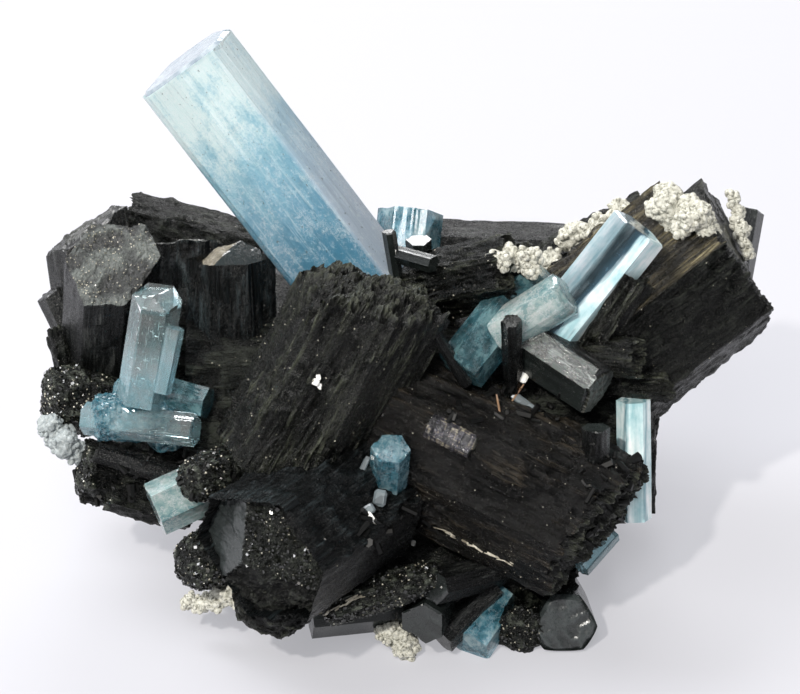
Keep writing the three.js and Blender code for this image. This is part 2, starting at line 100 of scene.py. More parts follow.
SCHORL_PIECES = {
    "schorl_centre": [
        schorl((-15.6, -16.3, 8), (-3.3, 6.5, 14), 18.5, facing=(0.3, 0.9, 0.3), rise=2.5,
               calm=((-2, -10, 20), 9), pitch=0.185),
    ],
    "schorl_lower_front": [
        schorl((-4, -18.5, 7), (-17.2, -27.2, 24.5), 17.4, "shaded", odd_sides={5: "striped"},
               habit=(0.84, 0.9, 1.2, 1.0, 1, 0.95), facets={
                   "peak": (-4.1, 1.2), "turns": (-5, 110, 255), "slopes": (0.32, 0.4, 0.35),
                   "ends": ("granular", "satin", "mottled")}),
        schorl((-13.5, -27, 4), (-17, -34.2, 17.5), 10.5, "shaded", "mottled", soft=0.45),
        schorl((-19, -26, 2), (-27.5, -28.5, 15), 7.5, "granular", "granular", soft=0.6),
        schorl((-18.5, -15.5, 4), (-27.5, -17.5, 15), 6.2, "granular", "granular", soft=0.6),
    ],
    "schorl_lower_right": [
        schorl((-1, -10.5, 4), (25.5, -23.8, 10.5), 20, "ribbed", "crinkled", facing=(0.75, -0.6, 0.25),
               rise=1, side_look="umber"),
        schorl((4.0, -10.3, 13.7), (9.8, -13.2, 14.9), 4.8, "terraced", "stepped", side_look="painted_highlight",
               pitch=0.16),
        schorl((25.5, -23.5, 10), (25.5, -10.5, 15), 3.5, "striped", "smooth", pitch=0.2),
    ],
    "schorl_right": [
        schorl((26, -1.5, -4), (43.3, 12.3, -5), 24.5, "bark", "mottled", rise=1.5, pitch=0.3,
               roll=math.radians(20), odd_sides={5: "golden"}),
        schorl((33, 8, -6), (44.5, 16.4, -7), 13.2, "ribbed", "stepped", facing=(0.85, 0.45, 0.25),
               pitch=0.35, wear=2.0),
        schorl((47, 9, -14), (49, 19, -16), 3.6, "smooth", "smooth"),
        schorl((32, -7, -8), (31.5, -22, -5), 6.4, "bark", "crinkled"),
    ],
    "schorl_fans": [
        schorl((25, -0.5, 7), (31, 9.3, 9.5), 5.4, "ribbed", "crinkled", pitch=0.2),
        schorl((22, -0.5, 6), (31, -1.5, 11), 4.8, "ribbed", "crinkled", pitch=0.2),
        schorl((25.5, -5, 4), (35.5, -5.5, 7), 3.4, "ribbed", "crinkled", pitch=0.2),
        schorl((16.5, 1, 7), (26, -5.4, 11.5), 7, "smooth", "stepped", pitch=0.2,
               roll=math.radians(-8), odd_sides={0: "polished", 5: "striped"}),
        schorl((15.2, -9.5, 3), (14.5, 3.5, 16), 2.5, "striped", "stepped", pitch=0.2),
        schorl((8.8, -5, 10), (3.8, 3.2, 14), 1.6, "striped", "stepped", pitch=0.18),
    ],
    "schorl_top": [
        schorl((2.5, 8, -3), (15, 10.5, 9), 8.8, "ribbed", "crinkled", pitch=0.2),
        schorl((-0.5, 9.5, 1), (-1.5, 15.5, 4), 1.7, "smooth", "smooth"),
        schorl((2.5, 9.5, -4), (2.5, 14.5, -1), 3.2, "smooth", "smooth"),
        schorl((-0.5, 12.5, 2), (4.5, 11, 6), 2.2, "smooth", "smooth"),
        schorl((1.5, 13.5, -22), (23, 12.7, -23), 9, "striped", "crinkled", pitch=0.4),
        schorl((19.5, 9, -18), (35, 17.5, -18), 8.5, "bark", "crinkled", pitch=0.4),
    ],
    "schorl_left": [
        schorl((-40.7, -3.6, -11), (-38.7, 11.4, 2), 11.6, "striped", "frosted",
               facing=(-0.1, 0.4, 0.91)),
        schorl((-40.5, -5, -12), (-43.6, 16.4, -13), 11, "striped", "stepped",
               facing=(-0.5, 0.8, 0.2), wear=2.0, pitch=0.32),
        schorl((-42.5, -4.5, -12), (-48.4, 8, -12), 4.4, "striped", "stepped", facing=(-0.6, 0.75, 0.2)),
        schorl((-45.5, -4.5, -7), (-47, 2, -6), 2.5, "bark", "crinkled"),
        schorl((-19, 12.4, -17), (-38, 17, -18), 9, "bark", "crinkled", pitch=0.32),
        schorl((-29, -2.5, -11), (-29.5, 14.5, -11), 8.5, "ribbed", "stepped", side_look="shaded",
               pitch=0.35),
        schorl((-22.5, -8.5, -3), (-22.8, 12.3, 1), 10.8, "ribbed", side_look="shaded", pitch=0.3, facets={
            "peak": (-1.5, -1.0), "turns": (-65, 35), "slopes": (0.45, 0.9),
            "ends": ("weathered", "smooth")}),
    ],
    "schorl_lower_left": [
        schorl((-38, -7.5, -6), (-48, -7, -2), 8.5, "granular", "granular", soft=0.4),
        schorl((-28, -19, -4), (-43, -16.5, 1), 8.4, "bark", "granular", soft=0.25),
        schorl((-26, -18.5, 4), (-40.5, -14, 5), 2.8, "striped", "stepped"),
        schorl((-28, -22.5, -2), (-39.5, -19.5, 2), 5, "bark", "granular", soft=0.3),
    ],
    "schorl_keel": [
        schorl((4.5, -34.5, 2), (-12, -36, 5), 5.4, "smooth", "smooth"),
        schorl((5.5, -30, 10), (-10, -34.5, 14), 4.4, "granular", "granular", soft=0.3),
        schorl((5.5, -32.5, 2), (3, -36.5, 10), 5.6, "smooth", "smooth"),
        schorl((13.5, -30, 2), (4.5, -31.5, 12), 4.4, "striped", "smooth"),
        schorl((12.5, -32.5, 2), (5.5, -39, 6), 3.8, "striped", "smooth"),
        schorl((21.5, -34.6, -8), (22, -37.1, 5), 8.4, "smooth", "satin", rounded=0.25, bevel=0.7),
        schorl((17, -34.5, -6), (16, -38, 5), 7.5, "bark", "granular", soft=0.4),
    ],
    "schorl_body": [
        schorl((-29, -6.5, -11), (31, -7.5, -12), 31, "bark", "crinkled", pitch=0.8),
        schorl((-15, -29.5, -8), (23.5, -29.5, -8), 19, "bark", "crinkled", pitch=0.7),
        schorl((-22, -2, -14), (-44, 1, -13), 17, "bark", "crinkled", pitch=0.55),
        schorl((-16, -15, -9), (-37, -13, -7), 13, "bark", "crinkled", pitch=0.5),
    ],
    "schorl_far_side": [
        schorl((-14, -0.5, -12), (-20.5, 7, -38), 14, "ribbed", "stepped", pitch=0.72),
        schorl((6.7, -4.6, -14), (14.7, 2.5, -40), 16, "ribbed", "stepped", pitch=0.72),
        schorl((-2.8, -14.3, -12), (-7.3, -18, -39), 15, "ribbed", "crinkled", rise=2, pitch=0.72),
        schorl((20, -10, -12), (30, -12, -32), 11, "ribbed", "stepped", rise=1.5, pitch=0.72),
        schorl((-25, -10, -12), (-36, -12, -32), 12, "ribbed", "stepped", rise=1.5, pitch=0.72),
        schorl((6.9, -23.9, -10), (10.2, -31, -34), 13, "ribbed", "crinkled", pitch=0.72),
        schorl((-14, -22, -8), (-22, -26, -28), 11, "ribbed", "crinkled", pitch=0.72),
    ],
}

# ---------------------------------------------------------------- colours, nodes and materials
# A Mix node's colour sockets: how much, the colour under and the one over it, and what comes out.
HOW_MUCH, UNDER, OVER, MIXED = 0, 6, 7, 2
BERYL_IOR = 1.577
SCHORL_IOR = 1.64


def linear(hex_colour):
    """An sRGB hex colour as linear RGBA."""
    shares = [int(hex_colour[i:i + 2], 16) / 255 for i in (1, 3, 5)]
    toe = 0.04045
    return tuple(s / 12.92 if s <= toe else ((s + 0.055) / 1.055) ** 2.4 for s in shares) + (1.0,)


def grey(share):
    """A linear share as an sRGB grey."""
    level = round(255 * (1.055 * share ** (1 / 2.4) - 0.055))
    return "#" + 3 * f"{max(level, 0):02X}"


def feed(tree, node, feeds):
    """Gives inputs, in order or by name, a value, a hex colour or another node's output.

    None leaves an input alone.
    """
    for key, value in (feeds.items() if isinstance(feeds, dict) else enumerate(feeds)):
        if isinstance(value, bpy.types.NodeSocket):
            tree.links.new(value, node.inputs[key])
        elif value is not None:
            node.inputs[key].default_value = linear(value) if isinstance(value, str) else value


def add(tree, kind, feeds=(), output=0, stops=(), **settings):
    """Adds a node with its settings and feeds, and returns one of its outputs.

    Stops are a colour ramp's places and hex colours.
    """
    node = tree.nodes.new("ShaderNode" + kind)
    for key, value in settings.items():
        setattr(node, key, value)
    if stops:
        elements = node.color_ramp.elements
        while len(elements) < len(stops):
            elements.new(0.5)
        for element, (place, colour) in zip(elements, stops):
            element.position = place
            element.color = linear(colour)
    feed(tree, node, feeds)
    return node.outputs[output]


def new_material(name, settings, soak=None):
    """A material with one principled shader; returns the material, its tree and the shader.

    Soak is the colour of light that has crossed the crystal, and how much is lost in a metre.
    """
    made = bpy.data.materials.new(name)
    made.use_nodes = True
    tree = made.node_tree
    tree.nodes.clear()
    shader = add(tree, "BsdfPrincipled", settings).node
    volume = add(tree, "VolumeAbsorption", soak) if soak else None
    feed(tree, tree.nodes.new("ShaderNodeOutputMaterial"), {"Surface": shader.outputs[0], "Volume": volume})
    return made, tree, shader


def growth_noise(tree, across, along, detail=4.0, roughness=0.55):
    """Noise in a crystal's own mm: blotches 1/across wide and 1/along long."""
    growth = add(tree, "Attribute", output="Vector", attribute_name="growth")
    stretched = add(tree, "Mapping", {"Vector": growth, "Scale": (across, across, along)})
    feeds = {"Vector": stretched, "Scale": 1.0, "Detail": detail, "Roughness": roughness}
    return add(tree, "TexNoise", feeds, "Fac")


def hairlines(tree, noise, width, on_line, off_line):
    """Thin lines where noise passes its middle: one value on a line and another off it."""
    apart = add(tree, "Math", (noise, 0.5), operation="SUBTRACT")
    apart = add(tree, "Math", (apart,), operation="ABSOLUTE")
    return add(tree, "MapRange", (apart, 0.0, width, on_line, off_line))


def overlay(tree, colour, covers):
    """Covers a colour with others in turn: how much of each, and its hex colour."""
    for cover, over in covers:
        colour = add(tree, "Mix", {HOW_MUCH: cover, UNDER: colour, OVER: over}, MIXED, data_type="RGBA")
    return colour


def roughen(tree, shader, heights, inputs=("Normal",)):
    """Layers of relief too fine for the mesh: (height, strength, depth in mm)."""
    normal = None
    for height, strength, depth in heights:
        feeds = {"Height": height, "Strength": strength, "Distance": depth * MM, "Normal": normal}
        normal = add(tree, "Bump", feeds)
    feed(tree, shader, dict.fromkeys(inputs, normal))


def schorl_material(name, colours, roughness, streak, streak_depth, grain_depth, gloss=0.2, lines=0.05,
                    line_run=0.1, line_colour=None):
    """Black tourmaline: brittle, glassy and black, with painted shade in its grooves and painted light,
    grey, brown or green, on its crests.

    Streaks are 1 streak wide in mm and stand out by streak_depth, and its grain by grain_depth.
    """
    made, tree, shader = new_material(name, {
        "IOR": SCHORL_IOR, "Metallic": 0.0, "Specular IOR Level": gloss,
    })
    # relief from groove to crest: it paints the crests lighter and the grooves darker, as painted light and
    # shade
    painted_relief_shading = add(tree, "Attribute", output="Fac", attribute_name="relief")
    streaks = growth_noise(tree, 1 / streak, 0.07 / streak, 6.0, 0.62)
    patches = growth_noise(tree, 0.28, 0.12, 3.0)
    fibres = growth_noise(tree, 5.0, 0.45, 4.0, 0.7)
    grain = growth_noise(tree, 3.2, 2.4, 5.0, 0.65)
    grooves = growth_noise(tree, 1.2, line_run, 5.0, 0.7)
    tone = 0.0
    for pattern, weight in ((patches, 0.33), (painted_relief_shading, 0.45), (fibres, 0.32), (streaks, 0.35)):
        tone = add(tree, "Math", (pattern, weight, tone), operation="MULTIPLY_ADD")
    colour = add(tree, "ValToRGB", (tone,), stops=list(zip((0.63, 0.74, 0.88), colours)))
    # thin dark lines that sink in like grooves: painted shade
    painted_groove_shade = hairlines(tree, grooves, lines, 1.0, 0.0)
    feed(tree, shader, {
        "Base Color": overlay(tree, colour, [(painted_groove_shade, line_colour or colours[0])]),
        "Roughness": add(tree, "MapRange", (grain, 0.35, 0.65, *roughness)),
    })
    roughen(tree, shader, [(streaks, 1.0, streak_depth), (fibres, 0.8, 0.3 * streak_depth),
                           (hairlines(tree, grooves, lines, 0.0, 1.0), 0.7, 0.06),
                           (grain, 0.8, grain_depth)])
    return made


SCHORL_LOOKS = {
    # fine lengthwise ribs, with painted shade, black, in the grooves and painted light, green-grey, on the
    # crests
    "ribbed": schorl_material("schorl_ribbed", ("#020302", "#0F110D", "#3F4236"), (0.14, 0.36), 0.28,
                              0.5, 0.2, 0.22),
    # the same in the shade of its neighbours
    "shaded": schorl_material("schorl_shaded", ("#030404", "#0E1112", "#30383A"), (0.16, 0.45), 0.35,
                              0.4, 0.25, 0.16),
    # short broken ribs, duller, like bark
    "bark": schorl_material("schorl_bark", ("#010201", "#0B0D0B", "#2A2D27"), (0.16, 0.4), 0.5,
                            0.4, 0.35, 0.14),
    # ribs with a brown cast, glassy where they catch the light
    "umber": schorl_material("schorl_umber", ("#010101", "#080706", "#302A20"), (0.08, 0.3), 0.28,
                             0.6, 0.1, 0.15),
    # terraces painted pale on their crests where they mirror the lamp: painted highlights
    "painted_highlight": schorl_material("schorl_painted_highlight", ("#07070D", "#34323F", "#A39A82"), (0.1, 0.3), 0.25,
                              0.2, 0.1, 0.6),
    # ribs with a golden brown cast
    "golden": schorl_material("schorl_golden", ("#100E08", "#574F39", "#A89E7A"), (0.2, 0.4), 0.2,
                              0.6, 0.1, 0.3, 0.09, 0.04),
    # closely striped faces with a satin shine
    "striped": schorl_material("schorl_striped", ("#050606", "#141616", "#424442"), (0.16, 0.36), 0.22,
                               0.3, 0.06, 0.25),
    # clean glassy faces
    "smooth": schorl_material("schorl_smooth", ("#161A19", "#1E2322", "#2A2F2E"), (0.14, 0.28), 0.6,
                              0.01, 0.006, 0.6, 0.004),
    # a flat face with a dull shine
    "satin": schorl_material("schorl_satin", ("#1D2121", "#272C2C", "#323838"), (0.25, 0.4), 0.5,
                             0.02, 0.02, 0.6, 0.004),
    # a face painted light grey: a painted reflection of the room
    "polished": schorl_material("schorl_painted_reflection", ("#4B514E", "#7D8481", "#A9B0AD"), (0.06, 0.2), 0.9,
                                0.02, 0.02, 0.8, 0.09, 0.45, "#070807"),
    # etched ends of many small tips
    "crinkled": schorl_material("schorl_etched", ("#030403", "#0F110D", "#393C31"), (0.2, 0.45), 0.6,
                                0.2, 0.4, 0.2),
    "stepped": schorl_material("schorl_stepped", ("#090A09", "#191C19", "#3A3B35"), (0.2, 0.45), 0.6,
                               0.03, 0.06, 0.4, 0.02),
    "mottled": schorl_material("schorl_mottled", ("#030404", "#121412", "#33362F"), (0.25, 0.55), 0.8,
                               0.1, 0.5, 0.25),
    # sugary surfaces of tiny crystals
    "granular": schorl_material("schorl_granular", ("#040504", "#141713", "#42463E"), (0.16, 0.45), 0.5,
                                0.1, 0.4, 0.2),
    # a sugary end painted pale grey where it faces the light: painted light
    "frosted": schorl_material("schorl_frosted_painted_light", ("#181A19", "#343836", "#595E5A"), (0.25, 0.5), 0.5,
                               0.05, 0.25, 0.4, 0.02),
    # brown-grey weathered faces
    "weathered": schorl_material("schorl_weathered", ("#3B372E", "#6C6658", "#8F8876"), (0.35, 0.55), 0.6,
                                 0.02, 0.08, 0.3, 0.01),
}


def large_prism_material(name):
    """The large aquamarine: blue where it is rooted, mint-white towards its end, painted lilac grey on its
    flank as a painted reflection.

    Fine lines run along it, with pale wisps between them and a few specks on them.
    """
    made, tree, shader = new_material(name, {
        "IOR": BERYL_IOR, "Transmission Weight": 0.5, "Metallic": 0.0,
        "Coat Weight": 0.9, "Coat Roughness": 0.06, "Coat IOR": BERYL_IOR,
    }, ("#7FCBDD", 5.0))
    growth = add(tree, "Attribute", output="Vector", attribute_name="growth")
    aside = add(tree, "SeparateXYZ", (growth,), "Y")
    height = add(tree, "SeparateXYZ", (growth,), "Z")
    clouds = growth_noise(tree, 0.3, 0.2, 5.0, 0.6)
    lines = growth_noise(tree, 1.1, 0.04, 4.0, 0.65)
    dust = growth_noise(tree, 2.6, 2.2, 5.0, 0.7)
    pale = add(tree, "MapRange", (height, 8.0, 34.0, 0.0, 1.0))
    for noise, weight in ((clouds, 1.0), (lines, 0.5), (dust, 0.8)):
        pale = add(tree, "Math", (noise, weight, pale), operation="MULTIPLY_ADD")
    pale = add(tree, "MapRange", (pale, 1.17, 2.30, 0.0, 1.0))
    colour = add(tree, "ValToRGB", (pale,), stops=[
        (0.0, "#4E8CA8"), (0.24, "#6BA4BC"), (0.55, "#8CC1D1"), (0.84, "#DFF3F2")])
    # the flank is painted lilac grey, more so lower down: a painted reflection
    flank_painted_reflection = add(tree, "MapRange", (aside, 3.2, 4.0, 0.0, 1.0))
    reflection_lower_down = add(tree, "MapRange", (height, 34.0, 14.0, 0.25, 0.8))
    cracks = hairlines(tree, growth_noise(tree, 0.7, 0.6, 6.0, 0.8), 0.014, 0.85, 0.0)
    in_clouds = add(tree, "MapRange", (clouds, 0.42, 0.5, 0.0, 1.0))
    flecks = add(tree, "MapRange", (growth_noise(tree, 1.5, 1.1, 7.0, 0.78), 0.54, 0.66, 0.0, 0.6))
    wisps = add(tree, "MapRange", (growth_noise(tree, 2.0, 0.12, 4.0, 0.65), 0.57, 0.68, 0.0, 0.45))
    scratches = hairlines(tree, growth_noise(tree, 1.5, 0.03, 3.0, 0.6), 0.009, 0.35, 0.0)
    specks = add(tree, "MapRange", (growth_noise(tree, 1.9, 1.2, 3.0, 0.6), 0.655, 0.70, 0.0, 0.8))
    colour = overlay(tree, colour, [
        (add(tree, "Math", (flank_painted_reflection, reflection_lower_down), operation="MULTIPLY"), "#D4DDEA"),
        (flecks, "#EEFBFB"),
        (add(tree, "Math", (cracks, in_clouds), operation="MULTIPLY"), "#FFFFFF"),
        (wisps, "#E6F6F8"),
        (scratches, "#6E95A3"),
        (specks, "#4B5A5B"),
    ])
    feed(tree, shader, {
        "Base Color": colour,
        "Roughness": add(tree, "MapRange", (clouds, 0.35, 0.65, 0.3, 0.5)),
    })
    roughen(tree, shader, [(lines, 0.6, 0.08), (dust, 0.7, 0.07)], ("Normal", "Coat Normal"))
    return made


def clear_beryl(name, tints, absorb, density, clearness, roughness, painted_light_zones=None, cloudy=(0.0, 1.0),
                crazed=0.0, root=None):
    """Aquamarine: glassy and see-through, with milky veils and, where it is crazed, white cracks.

    Its root is milky blue up to one height and clear from another, in mm: (from, to).
    Painted light zones run across the crystal, over a half width in mm: (place from 0 to 1, tint,
    clearness); their pale and bright bands are painted reflections and highlights.
    """
    made, tree, shader = new_material(name, {
        "IOR": BERYL_IOR, "Transmission Weight": clearness, "Metallic": 0.0,
        "Subsurface Weight": cloudy[0], "Subsurface Scale": cloudy[1] * MM,
        "Subsurface Radius": (0.8, 1.0, 1.05),
    }, (absorb, density))
    growth = add(tree, "Attribute", output="Vector", attribute_name="growth")
    streaks = growth_noise(tree, 1.1, 0.9 if crazed else 0.09, 6.0, 0.62)
    veils = growth_noise(tree, 0.35, 0.25, 6.0, 0.65)
    tone = add(tree, "Math", (streaks, 0.5, veils), operation="MULTIPLY_ADD")
    tone = add(tree, "MapRange", (tone, 0.6, 0.9, 0.0, 1.0))
    colour = add(tree, "ValToRGB", (tone,), stops=tints)
    if crazed:
        cracks = hairlines(tree, growth_noise(tree, 0.7, 0.6, 5.0, 0.7), 0.03, crazed, 0.0)
        colour = overlay(tree, colour, [(cracks, "#FFFFFF")])
    if root:
        height = add(tree, "SeparateXYZ", (growth,), "Z")
        risen = add(tree, "Math", (veils, 5.0, height), operation="MULTIPLY_ADD")
        colour = overlay(tree, colour, [(add(tree, "MapRange", (risen, *root, 0.6, 0.0)), "#7FB4C3")])
        feed(tree, shader, {"Transmission Weight": add(tree, "MapRange", (risen, *root, 0.7, clearness))})
    # pale and bright bands across the faces: painted reflections and highlights
    if painted_light_zones:
        half, bands = painted_light_zones
        aside = add(tree, "SeparateXYZ", (growth,), "Y")
        share = add(tree, "MapRange", (aside, -half, half, 0.0, 1.0))
        wobble = add(tree, "MapRange", (growth_noise(tree, 0.5, 0.06, 3.0), 0.3, 0.7, -0.12, 0.12))
        place = add(tree, "Math", (share, wobble), operation="ADD")
        painted_light_tint = add(tree, "ValToRGB", (place,), stops=[(at, tone) for at, tone, _ in bands])
        colour = add(tree, "Mix", {HOW_MUCH: 1.0, UNDER: colour, OVER: painted_light_tint}, MIXED,
                     data_type="RGBA", blend_type="MULTIPLY")
        clear = add(tree, "ValToRGB", (place,), stops=[(at, grey(clear)) for at, _, clear in bands])
        feed(tree, shader, {"Transmission Weight": clear})
    feed(tree, shader, {
        "Base Color": colour,
        "Roughness": add(tree, "MapRange", (veils, 0.4, 0.65, *roughness)),
    })
    roughen(tree, shader, [(growth_noise(tree, 2.2, 0.1, 4.0), 0.05, 0.06)])
    return made


PALE = [(0.0, "#B5D8DC"), (0.5, "#DCEFF0"), (1.0, "#FCFFFF")]
BERYL_LOOKS = {
    # the large prism: blue at its foot, mint-white towards its end
    "main": large_prism_material("aquamarine_prism"),
    # its end, painted lilac grey: a painted reflection of the room
    "cap": clear_beryl("aquamarine_end_painted_reflection", [(0.0, "#93A0AC"), (0.5, "#A6B2BC"), (1.0, "#C0CAD0")],
                       "#8CCBDA", 10.0, 0.3, (0.05, 0.15)),
    "pale": clear_beryl("aquamarine_pale", PALE, "#8CCFDA", 25.0, 0.93, (0.0, 0.06), crazed=0.2,
                        root=(7.0, 12.5)),
    # glassy but full of cracks
    "milky": clear_beryl("aquamarine_milky", [(0.0, "#7FAAAF"), (0.5, "#B3D0CF"), (1.0, "#E6F2EE")],
                         "#8CC4CC", 20.0, 0.65, (0.02, 0.15), cloudy=(0.3, 1.0), crazed=0.8),
    "blue": clear_beryl("aquamarine_blue", [(0.0, "#2F6272"), (0.5, "#5C92A2"), (1.0, "#AECFD6")],
                        "#64AEC6", 40.0, 0.6, (0.04, 0.2), cloudy=(0.2, 1.0), crazed=0.25),
    "teal": clear_beryl("aquamarine_teal", [(0.0, "#274A50"), (0.5, "#44707A"), (1.0, "#7FA9AE")],
                        "#64AEC6", 60.0, 0.6, (0.02, 0.12), cloudy=(0.2, 1.0), crazed=0.12),
    # one pale face as a painted reflection, one dark clear band and one bright face as a painted highlight
    "painted_bands": clear_beryl("aquamarine_painted_bands", PALE, "#8CCBDA", 20.0, 0.9, (0.02, 0.08),
                          painted_light_zones=(4.0, [(0.0, "#CDD2D8", 0.3), (0.30, "#A4ACB4", 0.4), (0.40, "#46535B", 0.7),
                                       (0.56, "#63859A", 0.7), (0.65, "#EEF6FA", 0.15),
                                       (1.0, "#FCFFFF", 0.05)])),
    # bright and dark stripes along a slender prism, the bright ones painted highlights
    "slender": clear_beryl("aquamarine_slender", PALE, "#8CCBDA", 20.0, 0.9, (0.02, 0.08),
                           painted_light_zones=(2.3, [(0.0, "#C4DCE2", 0.15), (0.16, "#FFFFFF", 0.05),
                                        (0.26, "#8FB2BC", 0.3), (0.38, "#FFFFFF", 0.0),
                                        (0.50, "#D5E6E9", 0.1), (0.72, "#F6FCFD", 0.05),
                                        (0.8, "#A9CBD5", 0.2), (0.9, "#FFFFFF", 0.0)])),
}


def crust_material(name, colours, pits):
    """Chalky white crust: dull, slightly see-through at its thin edges, painted grey in its pits and whiter
    on its knobs: painted shade and light.
    """
    made, tree, shader = new_material(name, {
        "IOR": 1.5, "Subsurface Weight": 0.15, "Subsurface Scale": 0.4 * MM,
        "Subsurface Radius": (1.0, 0.9, 0.8),
    })
    grain = growth_noise(tree, 2.2, 2.2, 6.0, 0.65)
    feed(tree, shader, {
        # the colour follows the relief: grey in the pits and whiter on top, painted shade and light
        "Base Color": add(tree, "ValToRGB", (grain,), stops=colours),
        "Roughness": add(tree, "MapRange", (grain, 0.3, 0.7, 0.85, 0.6)),
    })
    roughen(tree, shader, [(grain, 0.7, pits)])
    return made


CRUST_LOOKS = {
    "hyalite": crust_material("hyalite_crust", [(0.36, "#64635A"), (0.44, "#A5A498"), (0.56, "#CAC9BE")],
                              0.3),
    "feldspar": crust_material("feldspar_crust", [(0.3, "#757C7E"), (0.5, "#939A9B"), (0.7, "#B2B8B7")],
                               0.2),
}

SAME_SHADE = 0.8  # how wide, in mm, a patch of grains of one shade is


def grain_material(name, colours, roughness, gloss, clearness=0.0):
    """Loose-looking grains of one mineral, each a little lighter or darker than the next."""
    made, tree, shader = new_material(name, {
        "Roughness": roughness, "IOR": 1.6, "Specular IOR Level": gloss, "Transmission Weight": clearness,
    })
    place = add(tree, "TexCoord", output="Object")
    cells = add(tree, "TexVoronoi", {"Vector": place, "Scale": 1 / (SAME_SHADE * MM)}, "Color")
    shade = add(tree, "SeparateColor", (cells,))
    feed(tree, shader, {"Base Color": add(tree, "ValToRGB", (shade,), stops=list(zip((0.0, 1.0), colours)))})
    return made


GRAIN_LOOKS = {
    # glassy black facets that flash when they catch the lamp
    "schorl": grain_material("schorl_grains", ("#050605", "#161712"), 0.12, 0.6),
    "shard": grain_material("schorl_shards", ("#030303", "#0C0D0C"), 0.5, 0.2),
    # pale grains: mica and feldspar dust, and painted glints
    "mica_and_painted_glints": grain_material("mica_dust_and_painted_glints", ("#6F6C5E", "#C8C4B4"), 0.25, 0.8),
    # milky healed cracks and hollow tubes inside the clear crystals
    "veil": grain_material("beryl_veils", ("#D8ECEE", "#FFFFFF"), 0.4, 0.5, 0.35),
    # open cracks inside them, which mirror the light
    "crack": grain_material("beryl_cracks", ("#E6F4F5", "#FFFFFF"), 0.15, 1.0, 0.15),
    # chips of other stone in the gaps
    "white": grain_material("white_chips", ("#D8D8D2", "#F6F6F2"), 0.45, 0.5),
    "cream": grain_material("cream_chips", ("#B9AF96", "#D8CFB8"), 0.5, 0.4),
    "brown": grain_material("brown_needles", ("#6B4A30", "#8A6A4A"), 0.4, 0.4),
    # pale splinters along broken edges: painted glints
    "painted_highlight": grain_material("painted_glint_splinters", ("#6A6352", "#CFC9B8"), 0.15, 0.9),
    "slate": grain_material("slate_chips", ("#4A5256", "#6D777B"), 0.3, 0.6),
}

# ---------------------------------------------------------------- repeatable chance and noise
HASH_TURNS = (12.9898, 78.233, 37.719, 4.581)
HASH_SCALE = 43758.5453
TINY = 1e-6


def dice(*cells):
    """Repeatable random numbers from 0 to 1, one for each row of whole-number cells."""
    total = sum(cell * turn for cell, turn in zip(cells, HASH_TURNS))
    wave = np.sin(total) * HASH_SCALE
    return wave - np.floor(wave)


def scatter(*cells):
    """The solids' own chance, from -0.5 to 0.5."""
    wave = math.sin(sum(cell * turn for cell, turn in zip(cells, HASH_TURNS))) * HASH_SCALE
    return wave - math.floor(wave) - 0.5


def cloud(points, size, seed):
    """Smooth noise from 0 to 1 with blotches of a size in mm."""
    spots = points / size
    cell = np.floor(spots)
    share = spots - cell
    share = share * share * (3 - 2 * share)
    total = np.zeros(len(points))
    for corner in product((0, 1), repeat=3):
        weight = np.prod(np.where(corner, share, 1 - share), axis=1)
        total += weight * dice(*(cell + corner).T, seed)
    return total


def columns(points, size, seed):
    """Random numbers from 0 to 1, the same all over each cell of an irregular honeycomb."""
    spots = points / size
    cell = np.floor(spots)
    nearest = np.full(len(points), np.inf)
    value = np.zeros(len(points))
    for step in product((-1, 0, 1), repeat=2):
        home = cell + step
        jitter = np.stack([dice(*home.T, seed), dice(*home.T, seed + 0.37)], axis=1)
        gap = np.linalg.norm(home + jitter - spots, axis=1)
        closer = gap < nearest
        nearest = np.where(closer, gap, nearest)
        value = np.where(closer, dice(*home.T, seed + 0.71), value)
    return value


# ---------------------------------------------------------------- crystals
SIXTH = math.pi / 3
FACE_SHARE = 0.577  # how wide one face of a hexagon is, as a share of its width across flats
LENGTHWISE = 1.3  # how much longer along the crystal than around it the cells of its grid are
FINEST_RIB = 1.7  # the narrowest ribs that the grid can show, in its steps
HIGHEST = 1e-4  # how near its top, in mm, a spot counts as on a crystal's end
STEEP = 0.95  # a crystal that leans towards the viewer by more than this has its front up


def section_corners(across, habit, roll):
    """Corners of a six-sided cross-section, where neighbouring face lines meet."""
    corners = []
    for i, share in enumerate(habit):
        near = share * across / 2
        far = habit[(i + 1) % 6] * across / 2
        along = (far - near * math.cos(SIXTH)) / math.sin(SIXTH)
        angle = i * SIXTH + roll
        corners.append((near * math.cos(angle) - along * math.sin(angle),
                        near * math.sin(angle) + along * math.cos(angle)))
    return corners


def crystal_axes(crystal):
    """Foot, cross directions, axis and length of a crystal, and the slope of its end."""
    foot = Vector(crystal["foot"])
    axis = Vector(crystal["tip"]) - foot
    length = axis.length
    axis.normalize()
    viewer = Vector((0, 1, 0)) if abs(axis.z) > STEEP else Vector((0, 0, 1))
    front = (viewer - axis * viewer.dot(axis)).normalized()
    side = axis.cross(front)
    facing = Vector(crystal.get("facing", axis)).normalized()
    slope = np.array([front.dot(facing), side.dot(facing)]) / -axis.dot(facing)
    return foot, front, side, axis, length, slope


